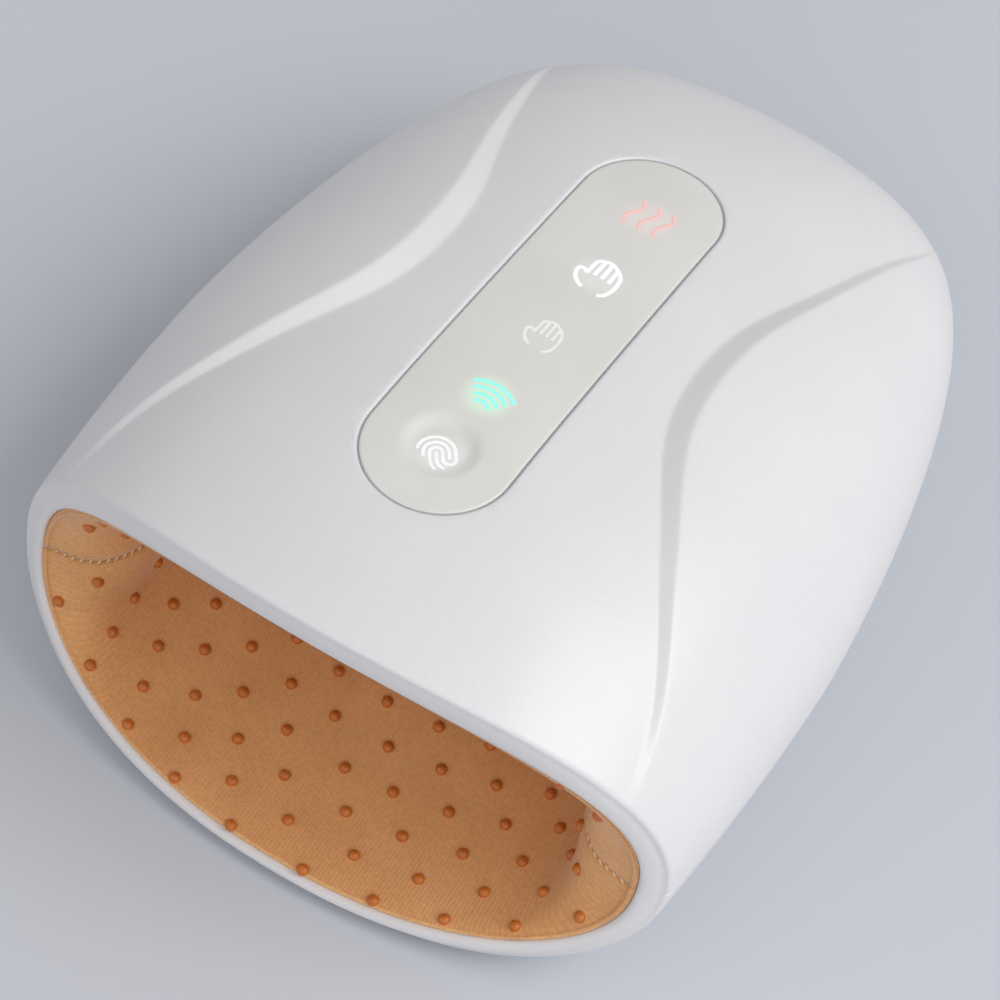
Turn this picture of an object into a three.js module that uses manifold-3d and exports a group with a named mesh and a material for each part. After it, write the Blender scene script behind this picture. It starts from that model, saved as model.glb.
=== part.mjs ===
// Hand massager: a domed two-part housing with a wide mouth for the hand, a fabric sleeve with air
// cushions round it, and a rear bay with the pump, valves, battery and boards. Millimetres, +Z up,
// +Y from the mouth to the nose.
import * as THREE from "three";
import { mergeVertices } from "three/addons/utils/BufferGeometryUtils.js";
import Module from "manifold-3d";

const wasm = await Module();
wasm.setup();

// Sleeve for the hand, and behind its closed end in order of depth: the partition with the main board,
// the battery's two round cells, and the pump, whose head is its widest part. Depths are measured back
// from the mouth's crown edge, heights from the parting plane between the covers.
const sleeveDepth = 148;
const partitionSetback = 2.2;
const partitionThickness = 1.8;
const standoffLength = 1.4;
const mainBoardThickness = 1.6;
const boardRoom = 6.3;
const cellRadius = 9.2;
const pumpRoomGap = 1.3;
const pumpHeadRadius = 11.5;
const noseRoom = 7;
const partitionDepth = sleeveDepth + partitionSetback;
const boardBackDepth = partitionDepth + partitionThickness + standoffLength + mainBoardThickness;
const cellDepth = boardBackDepth + boardRoom + cellRadius;
const pumpDepth = cellDepth + cellRadius + pumpRoomGap + pumpHeadRadius;

// Housing, which ends round the pump.
const housingHalfWidth = 88;
const mouthNarrowing = 4.9;
const shoulderDepth = 77;
const noseDepth = pumpDepth + pumpHeadRadius + noseRoom;
const crownRise = 57;
const crownShare = 0.341;
const crownDepth = crownShare * sleeveDepth;
const crownDip = 7.5;
const housingDrop = 36;
const groundClearance = 2.5;
const wall = 2.4;
// Roundness of the outlines, as powers of their two directions.
const planPowerShares = [1.5, 4.5];
const crownPowerShares = [1.81, 2.43];
const keelPowerShares = [2.54, 2.21];
const upperSectionShares = [2.16, 1.886];
const lowerSectionShares = [3.26, 2.28];

// The two S-shaped creases that part the sunk centre from the raised side lobes.
const creaseWidth = 6.4;
const creaseDepth = 3.8;
const creaseEndInset = 6;
const creaseEndDepth = noseDepth - creaseEndInset;
const creasePathShares = [0.885, 0.787, 0.6, 0.437, 0.433, 0.553, 0.718, 0.985];
const creaseGrowthShares = [0, 0.37, 0.69, 0.985, 1, 0.64, 0.35, 0];

// The rim round the mouth, and the mouth's outline inside the housing's.
const rimSideSetback = 14.2;
const rimSlantShare = 0.217;
const rimEdge = 1.2;
const rimBulge = 1.2;
const rimThickness = 2.8;
const mouthSideInset = 10;
const mouthCrownInset = 14.7;
const mouthKeelInset = 3.1;
const mouthHalfWidth = housingHalfWidth - mouthSideInset;
const mouthRise = crownRise - mouthCrownInset;
const mouthDrop = housingDrop - mouthKeelInset;
const mouthUpperPowerShare = 2.13;
const mouthLowerPowerShare = 2.49;

// Gap between pieces that rest on each other, how far a cut runs past a face, the room round fixed and
// moving pieces, and how near two corners are when they count as one.
const seatGap = 0.3;
const cutOverrun = 3;
const fitClearance = 0.3;
const runningClearance = 0.1;
const mergeDistance = 0.004;

// Gap, tongue and rebate along the parting plane.
const partingGap = 0.2;
const tongueHeight = 1.5;
const tongueThickness = 1.1;

// Panel lens with its touch dish, the light guide and the board below it.
const panelLength = 125.3;
const panelWidth = 34.2;
const panelShare = 0.649;
const panelDepth = panelShare * sleeveDepth;
const lensThickness = 1.6;
const lensSink = 0.35;
const ledgeWidth = 2.6;
const ledgeThickness = 1.4;
const pocketBorder = 3.3;
const dishInset = 14.75;
const dishDepthPlace = panelDepth - panelLength / 2 + dishInset;
const dishRadius = 9;
const dishSink = 0.9;
const lightShares = [-0.231, -0.06, 0.128, 0.327];
const lightPlaces = lightShares.map((share) => panelDepth + share * panelLength);
const lightWellRadius = 5.6;
const guideThickness = 2.4;
const panelBoardBorder = 3.6;
const panelBoardThickness = 1.2;
const panelScrewInset = 2.4;
const panelScrewReach = 31;
const panelScrewRadius = 1;
const panelScrewLength = 4.4;
const contactRadius = 4.5;
const lampWidth = 3;
const lampHeight = 1;
const chipWidth = 6;
const chipHeight = 1;

// The sleeve's fabric, air cushions and frames. The sleeve is measured to its inner face.
const sleeveInset = 1.5;
const sleeveSetback = 1.2;
const ceilingFall = 14;
const ceilingFallShare = 0.608;
const ceilingFallDepth = ceilingFallShare * sleeveDepth;
const floorLift = 11;
const floorLiftDepth = 52;
const sleevePlanShares = [4, 3];
const sleeveHeightShares = [8, 3];
const linerThickness = 1.2;
const heaterThickness = 0.3;
const airbagThickness = 6.4;
const airbagSeam = 1;
const airbagStartShare = 0.338;
const airbagStart = airbagStartShare * sleeveDepth;
const airbagTipRoom = 16;
const airbagEnd = sleeveDepth - airbagTipRoom;
const airbagPortRadius = 3;
const airbagPortLength = 6;
const airbagPortPlace = 34;
const frameThickness = 1.8;
const framePostRadius = 3;
const framePostSpread = 30;
const framePostFrontInset = 12;
const framePostBackInset = 20;
const framePostDepths = [airbagStart + framePostFrontInset, airbagEnd - framePostBackInset];

// Cover screws and their bosses, places across and along.
const screwShankRadius = 1.3;
const screwHeadRadius = 2.6;
const screwHeadHeight = 1.8;
const screwLength = 17;
const screwHeadDrop = 9;
const bossRadius = 3;
const sideBossInset = 22;
const sideBossAdvance = 6;
const rearBossSetback = 5.5;

// Snap hooks of the bottom cover, along both sides of the sleeve.
const hookStart = 28;
const hookPitch = 31;
const hookCount = 3;
const hookWidth = 9;
const hookThickness = 1.4;
const hookGap = 1.4;
const hookHeight = 5.4;
const hookDrop = 6;
const barbHeight = 2;
const barbReach = 0.4;

// Rubber feet.
const footRadius = 6;
const footHeight = 3.2;
const footRecess = 1.9;
const footSpread = 40;
const footFrontDepth = 22;
const footRearAdvance = 16;
const footDepths = [footFrontDepth, sleeveDepth - footRearAdvance];
const footBorder = 1.8;

// Partition and main board.
const partitionClearance = 1.1;
const mainBoardWidth = 60;
const mainBoardHeight = 34;
const mainBoardLift = 4;
const standoffRadius = 2.2;
const partitionGuideInset = 28;
const partitionGuideSpread = housingHalfWidth - partitionGuideInset;
const partitionGuideDrop = 8;
// Parts on the main board: places across and up, then width, height and thickness of each.
const boardPartShares = [[0.05, 0.1], [-0.3, 0.15], [0.32, -0.2], [-0.32, -0.25], [0.3, 0.25]];
const boardPartSizes = [[12, 12, 1.4], [7, 6, 1.2], [10, 5, 3], [8, 5, 3], [5, 5, 2.4]];

// Battery: two cells, one above the other, in a cradle.
const cellLength = 65;
const cellGap = 0.5;
const capHeight = 1;
const batteryOffset = -14;
const batteryLift = 1;
const cradleWall = 1.6;
const cradleRibInset = 12;
const cradleRibThickness = 3;
const ribThickness = 2;

// Air pump: motor, rotor, diaphragm head.
const pumpLift = 3;
const motorRadius = 11;
const motorLength = 28;
const motorEnd = -34;
const motorNoseRadius = 3;
const motorNoseLength = 1.5;
const shaftRadius = 1;
const shaftDepth = 10;
const crankRadius = 4.5;
const crankLength = 3;
const crankOffset = 1.6;
const crankPinRadius = 0.8;
const pumpHeadLength = 16;
const pumpHeadWall = 1.8;
const wobblerRadius = 7.5;
const wobblerThickness = 1.5;
const diaphragmThickness = 1.6;
const cupCount = 3;
const cupRadius = 2.6;
const cupOffset = 5.4;
const pumpCapLength = 4;
const nippleRadius = 1.8;
const nippleLength = 3;
const pumpCushionThickness = 1.3;
const pumpCushionLength = 20;
const pumpRibThickness = 3;
const pumpRibSpread = 14;

// Air manifold and the two solenoid valves.
const manifoldWidth = 26;
const manifoldThickness = 5;
const manifoldHeight = 20;
const manifoldRoom = 2.5;
const manifoldOffset = batteryOffset + cellLength / 2 + manifoldRoom + manifoldWidth / 2;
const manifoldSetback = 10.5;
const manifoldDepth = cellDepth + manifoldSetback;
const manifoldNipple = 2;
const manifoldInletSetOff = 4;
const manifoldInlet = manifoldOffset + manifoldInletSetOff;
const valveWidth = 12;
const valveHeight = 20;
const valveSpacing = 14;
const valveFloor = 3;
const plungerRadius = 2.2;
const plungerLength = 9;
const valveCapThickness = 1.6;
const springWireRadius = 0.25;
const springRadius = 1.7;
const springTurnCount = 4;
const springStepCount = 7;
const springSideCount = 4;
const airPortRadius = 0.9;
const hoseRadius = 2.2;
const hoseSideCount = 8;
const hoseStepCount = 14;
const hoseTurnShare = 0.45;
const hoseFlatShare = 0.8;

// Charging socket and its board.
const socketWidth = 9;
const socketHeight = 3.2;
const socketLength = 7.4;
const socketShell = 0.4;
const socketTongueWidth = 6.6;
const socketTongueHeight = 0.7;
const plugWidth = 12.4;
const plugHeight = 6.4;
const socketDrop = 9.2;
const socketInset = 5.2;
const socketDepth = noseDepth - socketInset;
const chargeBoardWidth = 16;
const chargeBoardLength = 15;
const chargeBoardThickness = 1;
const chargeBoardOverlap = 2.2;

// Air intake slots in the floor.
const slotWidth = 1.8;
const slotLength = 8;
const slotPitch = 4.4;
const slotCount = 5;
const slotSetback = 6.3;
const slotDepth = partitionDepth + slotSetback;

// Counts of steps along and across the curved sheets.
const noseRowCount = 10;
const flankRowCount = 6;
const centreColumnCount = 4;
const lobeColumnCount = 6;
const floorColumnCount = 8;
const tipRowCount = 5;
const patchRowCount = 6;
const entryRowCount = 3;
const sleeveColumnCount = 6;
const patchColumnCount = 4;
const arcStepCount = 4;
const pillColumnCount = 4;
const roundStepCount = 16;
const smallRoundStepCount = 10;

const quarterTurn = Math.PI / 2;
const forward = new THREE.Vector3(0, 1, 0);
const upward = new THREE.Vector3(0, 0, 1);

// Finishes.
function finish(color, roughness, metalness = 0) {
  return new THREE.MeshStandardMaterial({ color, roughness, metalness });
}
const pearlShell = finish("#dedbe0", 0.28);
const panelGlaze = finish("#d9d9d4", 0.18);
const knitFabric = finish("#c99a62", 0.95);
const milkyPlastic = finish("#e9e7df", 0.5);
const boardLacquer = finish("#2f6b4a", 0.45);
const darkPlastic = finish("#2b2c30", 0.55);
const blackRubber = finish("#26262a", 0.85);
const airbagFilm = finish("#b9bcc4", 0.4);
const carbonFilm = finish("#3a3a3d", 0.6);
const cellWrap = finish("#3d6f9e", 0.4);
const steel = finish("#b9bcc0", 0.35, 0.9);
const hoseSilicone = finish("#e4e2da", 0.55);
const greyPlastic = finish("#c9c9cb", 0.6);
const copperWire = finish("#b5763e", 0.4, 0.8);

// Reads a table of shares as one smooth curve; place runs from 0 to 1.
function along(shares, place) {
  const last = shares.length - 1;
  const reach = THREE.MathUtils.clamp(place, 0, 1) * last;
  const index = Math.min(Math.floor(reach), last - 1);
  const at = (k) => shares[THREE.MathUtils.clamp(k, 0, last)];
  const before = index > 0 ? at(index - 1) : at(0) - (at(1) - at(0));
  const after = index < last - 1 ? at(index + 2) : at(last) + (at(last) - at(last - 1));
  const curve = new THREE.SplineCurve([
    new THREE.Vector2(index - 1, before),
    new THREE.Vector2(index, at(index)),
    new THREE.Vector2(index + 1, at(index + 1)),
    new THREE.Vector2(index + 2, after),
  ]);
  return curve.getPoint((1 + reach - index) / 3).y;
}

// Falls from 1 at place 0 to 0 at place 1 along a rounded outline.
function closing(place, [power, rootPower]) {
  return (1 - THREE.MathUtils.clamp(place, 0, 1) ** power) ** (1 / rootPower);
}

const ease = (place) => THREE.MathUtils.smoothstep(place, 0, 1);
const quadratic = (value) => value * value;

// Outline of the housing at a depth: half width, height over the parting plane and depth below it.
function halfWidthAt(depth) {
  if (depth < shoulderDepth) return housingHalfWidth - mouthNarrowing * quadratic(1 - depth / shoulderDepth);
  return housingHalfWidth * closing((depth - shoulderDepth) / (noseDepth - shoulderDepth), planPowerShares);
}
function riseAt(depth) {
  if (depth < crownDepth) return crownRise - crownDip * quadratic(1 - depth / crownDepth);
  return crownRise * closing((depth - crownDepth) / (noseDepth - crownDepth), crownPowerShares);
}
function dropAt(depth) {
  return housingDrop * closing((depth - shoulderDepth) / (noseDepth - shoulderDepth), keelPowerShares);
}
const partingHeight = groundClearance + housingDrop;
const crownEdgeRise = crownRise - crownDip;
const valleyDepthAt = (depth) => creaseDepth * along(creaseGrowthShares, depth / creaseEndDepth);

// Height of a superellipse section over its own axis, at x.
function sectionHeight(x, halfWidth, height, [across, up]) {
  return height * (1 - Math.min(Math.abs(x) / halfWidth, 1) ** across) ** (1 / up);
}
function valleyHeight(x, depth) {
  const rise = sectionHeight(x, halfWidthAt(depth), riseAt(depth), upperSectionShares);
  return partingHeight + rise - valleyDepthAt(depth);
}

// Depth of the slanted, hollowed face that the rim lies on.
function rimDepth(x, height) {
  const over = height - partingHeight;
  return rimSideSetback * quadratic(x / housingHalfWidth) + rimSlantShare * over * (1 - over / crownEdgeRise);
}

// Point of the outer surface at a depth. Across runs from -1 to 1, as a column of the mesh divided by
// its count.
const upperColumnCount = centreColumnCount + 1 + lobeColumnCount;
function upperAngle(depth, column) {
  const middle = along(creasePathShares, depth / creaseEndDepth);
  const growth = along(creaseGrowthShares, depth / creaseEndDepth);
  const half = (creaseWidth * growth) / (halfWidthAt(depth) + creaseWidth) / 2;
  const angleOf = (share) => Math.asin(Math.min(share, 1) ** (upperSectionShares[0] / 2));
  const inner = angleOf(middle - half);
  const outer = angleOf(middle + half);
  if (column <= centreColumnCount) return (inner * column) / centreColumnCount;
  if (column <= centreColumnCount + 1) return THREE.MathUtils.lerp(inner, outer, column - centreColumnCount);
  return THREE.MathUtils.lerp(outer, quarterTurn, (column - centreColumnCount - 1) / lobeColumnCount);
}
function upperPoint(depth, across) {
  const column = Math.abs(across) * upperColumnCount;
  const angle = upperAngle(depth, column);
  const sunk = 1 - THREE.MathUtils.clamp(column - centreColumnCount, 0, 1);
  const [acrossPower, upPower] = upperSectionShares;
  const x = Math.sign(across) * halfWidthAt(depth) * Math.sin(angle) ** (2 / acrossPower);
  const height = riseAt(depth) * Math.max(Math.cos(angle), 0) ** (2 / upPower) - sunk * valleyDepthAt(depth);
  return new THREE.Vector3(x, depth, partingHeight + Math.max(height, partingGap / 2));
}
function lowerPoint(depth, across) {
  const angle = Math.abs(across) * quarterTurn;
  const [acrossPower, downPower] = lowerSectionShares;
  const x = Math.sign(across) * halfWidthAt(depth) * Math.sin(angle) ** (2 / acrossPower);
  const height = dropAt(depth) * Math.max(Math.cos(angle), 0) ** (2 / downPower);
  return new THREE.Vector3(x, depth, partingHeight - Math.max(height, partingGap / 2));
}

// Moves a surface point inwards along the surface's normal, and keeps it on its own side of the
// parting plane.
function inset(pointAt, depth, across, distance, insideDepth) {
  const here = pointAt(depth, across);
  if (depth >= noseDepth) return here.addScaledVector(forward, -distance);
  const step = wall / noseDepth;
  const ahead = pointAt(Math.min(depth + wall, noseDepth), across);
  const behind = pointAt(depth - wall, across);
  const left = pointAt(depth, Math.max(across - step, -1));
  const right = pointAt(depth, Math.min(across + step, 1));
  const sideways = Math.abs(across) === 1 ? upward : right.sub(left);
  const normal = ahead.sub(behind).cross(sideways).normalize();
  const inside = new THREE.Vector3(0, insideDepth, partingHeight);
  if (normal.dot(inside.sub(here)) < 0) normal.negate();
  const side = Math.sign(here.z - partingHeight);
  here.addScaledVector(normal, distance);
  return here.setZ(partingHeight + side * Math.max(side * (here.z - partingHeight), partingGap / 2));
}

// A closed sheet between two grids of points. Corners that fall together are merged.
function sheet(rowCount, columnCount, outerAt, innerAt) {
  const points = [];
  for (const pointAt of [outerAt, innerAt]) {
    for (let row = 0; row <= rowCount; row++) {
      for (let column = 0; column <= columnCount; column++) points.push(...pointAt(row, column).toArray());
    }
  }
  const layer = (rowCount + 1) * (columnCount + 1);
  const outer = (row, column) => row * (columnCount + 1) + column;
  const inner = (row, column) => outer(row, column) + layer;
  const corners = [];
  const face = (a, b, c, d) => corners.push(a, b, c, a, c, d);
  for (let row = 0; row < rowCount; row++) {
    for (let column = 0; column < columnCount; column++) {
      face(outer(row, column), outer(row, column + 1), outer(row + 1, column + 1), outer(row + 1, column));
      face(inner(row, column), inner(row + 1, column), inner(row + 1, column + 1), inner(row, column + 1));
    }
    for (const [from, to, column] of [[row, row + 1, 0], [row + 1, row, columnCount]]) {
      face(outer(from, column), outer(to, column), inner(to, column), inner(from, column));
    }
  }
  for (let column = 0; column < columnCount; column++) {
    for (const [from, to, row] of [[column + 1, column, 0], [column, column + 1, rowCount]]) {
      face(outer(row, from), outer(row, to), inner(row, to), inner(row, from));
    }
  }
  const geometry = new THREE.BufferGeometry();
  geometry.setAttribute("position", new THREE.Float32BufferAttribute(points, 3));
  geometry.setIndex(corners);
  return tidied(geometry);
}

// Merges shared corners, drops faces that have shrunk to a line, and turns the faces outwards.
function tidied(geometry) {
  geometry.deleteAttribute("normal");
  geometry.deleteAttribute("uv");
  const merged = mergeVertices(geometry, mergeDistance);
  const index = merged.index.array;
  const corner = [new THREE.Vector3(), new THREE.Vector3(), new THREE.Vector3()];
  const kept = [];
  let volume = 0;
  for (let k = 0; k < index.length; k += 3) {
    const [a, b, c] = index.slice(k, k + 3);
    if (a === b || b === c || c === a) continue;
    kept.push([a, b, c]);
    corner.forEach((point, n) => point.fromBufferAttribute(merged.attributes.position, [a, b, c][n]));
    volume += corner[0].dot(corner[1].cross(corner[2]));
  }
  merged.setIndex(kept.flatMap(([a, b, c]) => (volume < 0 ? [a, c, b] : [a, b, c])));
  return merged;
}

// Closed mesh to solid and back.
function solid(geometry) {
  const ready = tidied(geometry.clone());
  return new wasm.Manifold(
    new wasm.Mesh({
      numProp: 3,
      vertProperties: new Float32Array(ready.attributes.position.array),
      triVerts: new Uint32Array(ready.index.array),
    }),
  );
}
function geometryOf(body) {
  const mesh = body.simplify(mergeDistance).getMesh();
  const geometry = new THREE.BufferGeometry();
  geometry.setAttribute("position", new THREE.BufferAttribute(mesh.vertProperties, 3));
  geometry.setIndex(new THREE.BufferAttribute(mesh.triVerts, 1));
  const shown = geometry.toNonIndexed();
  shown.computeVertexNormals();
  return shown;
}
const joined = (first, ...others) => others.reduce((body, other) => body.add(other), first);
const cut = (first, ...others) => others.reduce((body, other) => body.subtract(other), first);

// Plain shapes at a place. Rods are given by the middle of their lower end.
function rod(radius, length, x, y, z, axis = "z", steps = smallRoundStepCount) {
  const geometry = new THREE.CylinderGeometry(radius, radius, length, steps).translate(0, length / 2, 0);
  if (axis === "z") geometry.rotateX(quarterTurn);
  if (axis === "x") geometry.rotateZ(-quarterTurn);
  return solid(geometry.translate(x, y, z));
}
function block([x0, x1], [y0, y1], [z0, z1]) {
  const geometry = new THREE.BoxGeometry(x1 - x0, y1 - y0, z1 - z0);
  return solid(geometry.translate((x0 + x1) / 2, (y0 + y1) / 2, (z0 + z1) / 2));
}
const around = (middle, width) => [middle - width / 2, middle + width / 2];

// Profile of radius and height pairs, turned about the Z axis.
function turned(profile, steps = roundStepCount) {
  const points = profile.map(([radius, height]) => new THREE.Vector2(radius, height));
  return solid(new THREE.LatheGeometry(points, steps).rotateX(quarterTurn));
}

// Turns a solid from the Z axis to the X axis.
const alongX = (body) => body.rotate([0, THREE.MathUtils.radToDeg(quarterTurn), 0]);

// Bar with rounded sides along Y, from the origin.
function roundedBar(width, height, length) {
  const radius = height / 2;
  const shape = new THREE.Shape();
  shape.absarc(width / 2 - radius, 0, radius, -quarterTurn, quarterTurn);
  shape.absarc(radius - width / 2, 0, radius, quarterTurn, 3 * quarterTurn);
  const options = { depth: length, bevelEnabled: false, curveSegments: arcStepCount };
  return solid(new THREE.ExtrudeGeometry(shape, options).rotateX(quarterTurn).translate(0, length, 0));
}

// Round tube along a smooth line through the points.
function tube(points, radius, sideCount, stepCount) {
  const section = new THREE.Shape(Array.from({ length: sideCount }, (_, k) => {
    const turn = (2 * Math.PI * k) / sideCount;
    return new THREE.Vector2(radius * Math.cos(turn), radius * Math.sin(turn));
  }));
  const extrudePath = new THREE.CatmullRomCurve3(points);
  return solid(new THREE.ExtrudeGeometry(section, { steps: stepCount, extrudePath, bevelEnabled: false }));
}

const parts = new THREE.Group();
function addPiece(name, material, body) {
  const piece = new THREE.Mesh(geometryOf(body), material);
  piece.name = name;
  parts.add(piece);
}

// Depths of the rows of a cover, from the nose to the rim at one column.
const coverRowCount = noseRowCount + flankRowCount;
function rowDepth(row, frontDepth) {
  const flankPlace = (row - noseRowCount) / flankRowCount;
  if (flankPlace > 0) return THREE.MathUtils.lerp(shoulderDepth, frontDepth, flankPlace);
  const turn = quarterTurn * (1 - quadratic(row / noseRowCount));
  return THREE.MathUtils.lerp(shoulderDepth, noseDepth, Math.sin(turn) ** (2 / planPowerShares[0]));
}

// Depths at which the columns of the outer surface meet the rim's face.
function rimDepths(pointAt, columnCount) {
  return Array.from({ length: 2 * columnCount + 1 }, (_, column) => {
    let point = pointAt(0, column / columnCount - 1);
    for (let pass = 0; pass < arcStepCount; pass++) {
      point = pointAt(rimDepth(point.x, point.z), column / columnCount - 1);
    }
    return point.y;
  });
}

// Point of the mouth's outline, grown by a border, on the rim's face.
function mouthPoint(side, angle, border = 0) {
  const power = side > 0 ? mouthUpperPowerShare : mouthLowerPowerShare;
  const height = (side > 0 ? mouthRise : mouthDrop) + border;
  const x = (mouthHalfWidth + border) * Math.sign(angle) * Math.abs(Math.sin(angle)) ** (2 / power);
  const over = Math.max(height * Math.max(Math.cos(angle), 0) ** (2 / power), partingGap / 2);
  const level = partingHeight + side * over;
  return new THREE.Vector3(x, rimDepth(x, level), level);
}

// One cover with its half of the rim: the rows run from the nose to the rim's edge and over its face
// to the mouth.
function coverShell(side, pointAt, columnCount, angleAt) {
  const acrossOf = (column) => column / columnCount - 1;
  const fronts = rimDepths(pointAt, columnCount);
  const spot = (row, column, distance) => {
    const across = acrossOf(column);
    const front = fronts[column];
    const depth = rowDepth(Math.min(row, coverRowCount), front + (distance > 0 ? rimThickness : rimEdge));
    return inset(pointAt, depth, across, distance, Math.min(depth, shoulderDepth));
  };
  const outerAt = (row, column) => {
    if (row <= coverRowCount) return spot(row, column, 0);
    const across = acrossOf(column);
    if (row === coverRowCount + 1) {
      const edge = inset(pointAt, fronts[column] + rimEdge, across, rimEdge, shoulderDepth);
      return edge.setY(rimDepth(edge.x, edge.z));
    }
    const edge = mouthPoint(side, angleAt(0, across));
    return edge.setY(edge.y - rimBulge);
  };
  const innerAt = (row, column) => {
    if (row <= coverRowCount) return spot(row, column, wall);
    const across = acrossOf(column);
    const edge = mouthPoint(side, angleAt(0, across));
    const back = edge.clone().setY(edge.y + rimThickness);
    return row === coverRowCount + 1 ? back.lerp(spot(coverRowCount, column, wall), 1 / 2) : back;
  };
  return solid(sheet(coverRowCount + 2, 2 * columnCount, outerAt, innerAt));
}

// Everything between a cover's surface, set in by a distance, and the parting plane.
function coverFill(side, pointAt, columnCount, distance) {
  const fronts = rimDepths(pointAt, columnCount);
  const outerAt = (row, column) => {
    const across = column / columnCount - 1;
    const depth = rowDepth(row, fronts[column] + rimThickness);
    return inset(pointAt, depth, across, distance, Math.min(depth, shoulderDepth));
  };
  const innerAt = (row, column) => outerAt(row, column).setZ(partingHeight + (side * partingGap) / 2);
  return solid(sheet(coverRowCount, 2 * columnCount, outerAt, innerAt));
}

// Strip that follows the housing's outline at the parting plane, for the tongue and its rebate.
function partingStrip(start, outside, inside, bottom, top) {
  const outline = (distance) => {
    const points = [];
    for (let row = coverRowCount; row >= 0; row--) {
      const depth = rowDepth(row, start);
      points.push(inset(lowerPoint, depth, 1, distance, Math.min(depth, shoulderDepth)));
    }
    const mirrored = points.slice(0, -1).reverse();
    return [...points.map(({ x, y }) => [x, y]), ...mirrored.map(({ x, y }) => [-x, y])];
  };
  const corners = [...outline(outside), ...outline(inside).reverse()];
  const shape = new THREE.Shape(corners.map(([x, y]) => new THREE.Vector2(x, y)));
  const strip = new THREE.ExtrudeGeometry(shape, { depth: top - bottom, bevelEnabled: false });
  return solid(strip.translate(0, 0, bottom));
}

// Slab with the panel's stadium outline, grown by a border, between two heights that vary over it.
function pillSlab(border, topAt, bottomAt) {
  const radius = panelWidth / 2 + border;
  const straight = (panelLength - panelWidth) / 2;
  const rowCount = 4 * arcStepCount;
  const rowAt = (row) => {
    const fromEnd = Math.min(row, rowCount - row);
    const end = row * 2 < rowCount ? -1 : 1;
    const turn = quarterTurn * Math.min(fromEnd / arcStepCount, 1);
    const run = Math.max(fromEnd / arcStepCount - 1, 0) * straight;
    const fromMiddle = straight - run + radius * Math.cos(turn);
    return { y: panelDepth + end * fromMiddle, half: radius * Math.sin(turn) };
  };
  const pointAt = (heightAt) => (row, column) => {
    const { y, half } = rowAt(row);
    const x = half * ((2 * column) / pillColumnCount - 1);
    return new THREE.Vector3(x, y, heightAt(x, y));
  };
  return solid(sheet(rowCount, pillColumnCount, pointAt(topAt), pointAt(bottomAt)));
}
const belowValley = (distance) => (x, y) => valleyHeight(x, y) - distance;

// Sleeve for the hand, as a surface about the parting plane. Side is 1 above the plane and -1 below it.
const sleeveHalfWidth = mouthHalfWidth - sleeveInset;
function sleevePoint(side, depth, angle) {
  const place = depth / sleeveDepth;
  const power = side > 0 ? mouthUpperPowerShare : mouthLowerPowerShare;
  const halfWidth = sleeveHalfWidth * closing(place, sleevePlanShares);
  const ceiling = mouthRise - sleeveInset - ceilingFall * ease(depth / ceilingFallDepth);
  const floor = mouthDrop - sleeveInset - floorLift * ease(depth / floorLiftDepth);
  const height = (side > 0 ? ceiling : floor) * closing(place, sleeveHeightShares);
  const x = halfWidth * Math.sign(angle) * Math.abs(Math.sin(angle)) ** (2 / power);
  const level = Math.max(height * Math.max(Math.cos(angle), 0) ** (2 / power), seatGap / 2);
  return new THREE.Vector3(x, depth, partingHeight + side * level);
}
function outsideSleeve(side, depth, angle, distance) {
  const here = sleevePoint(side, depth, angle);
  if (depth >= sleeveDepth) return here.addScaledVector(forward, distance);
  const step = linerThickness / sleeveHalfWidth;
  const ahead = sleevePoint(side, Math.min(depth + step * sleeveHalfWidth, sleeveDepth), angle);
  const behind = sleevePoint(side, depth - step * sleeveHalfWidth, angle);
  const left = sleevePoint(side, depth, Math.max(angle - step, -quarterTurn));
  const right = sleevePoint(side, depth, Math.min(angle + step, quarterTurn));
  const sideways = Math.abs(angle) >= quarterTurn ? upward : right.sub(left);
  const normal = ahead.sub(behind).cross(sideways).normalize();
  const inside = new THREE.Vector3(0, Math.min(depth, sleeveDepth - airbagStart), partingHeight);
  if (normal.dot(inside.sub(here)) > 0) normal.negate();
  return here.addScaledVector(normal, distance);
}

// Height of the sleeve's outside, at a distance, over a place of the floor plan.
function sleeveHeight(side, x, depth, distance) {
  let low = 0;
  let high = quarterTurn;
  for (let pass = 0; pass < roundStepCount; pass++) {
    const middle = (low + high) / 2;
    if (outsideSleeve(side, depth, middle, distance).x < Math.abs(x)) low = middle;
    else high = middle;
  }
  return outsideSleeve(side, depth, low, distance).z;
}

// Depths of the sleeve's rows, from its closed end to its front edge, and the angle of its columns.
const sleeveRowCount = tipRowCount + patchRowCount + entryRowCount;
function sleeveRowDepth(row, front) {
  if (row < tipRowCount) return THREE.MathUtils.lerp(sleeveDepth, airbagEnd, quadratic(row / tipRowCount));
  const place = (row - tipRowCount) / patchRowCount;
  if (place <= 1) return THREE.MathUtils.lerp(airbagEnd, airbagStart, place);
  return THREE.MathUtils.lerp(airbagStart, front, (row - tipRowCount - patchRowCount) / entryRowCount);
}
const sleeveAngle = (column) => (quarterTurn * column) / sleeveColumnCount;

// Sheet that wraps the middle of the sleeve on the same rows and columns, between two distances
// outside it. It can leave out rows at its back end.
function sleevePatch(side, skippedRowCount, innerAt, outerAt) {
  const rowCount = patchRowCount - skippedRowCount;
  const pointAt = (distanceAt) => (row, column) => {
    const across = column / patchColumnCount - 1;
    const along = (2 * row) / rowCount - 1;
    const depth = sleeveRowDepth(tipRowCount + skippedRowCount + row, 0);
    return outsideSleeve(side, depth, sleeveAngle(column - patchColumnCount), distanceAt(across, along));
  };
  return solid(sheet(rowCount, 2 * patchColumnCount, pointAt(outerAt), pointAt(innerAt)));
}

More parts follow.
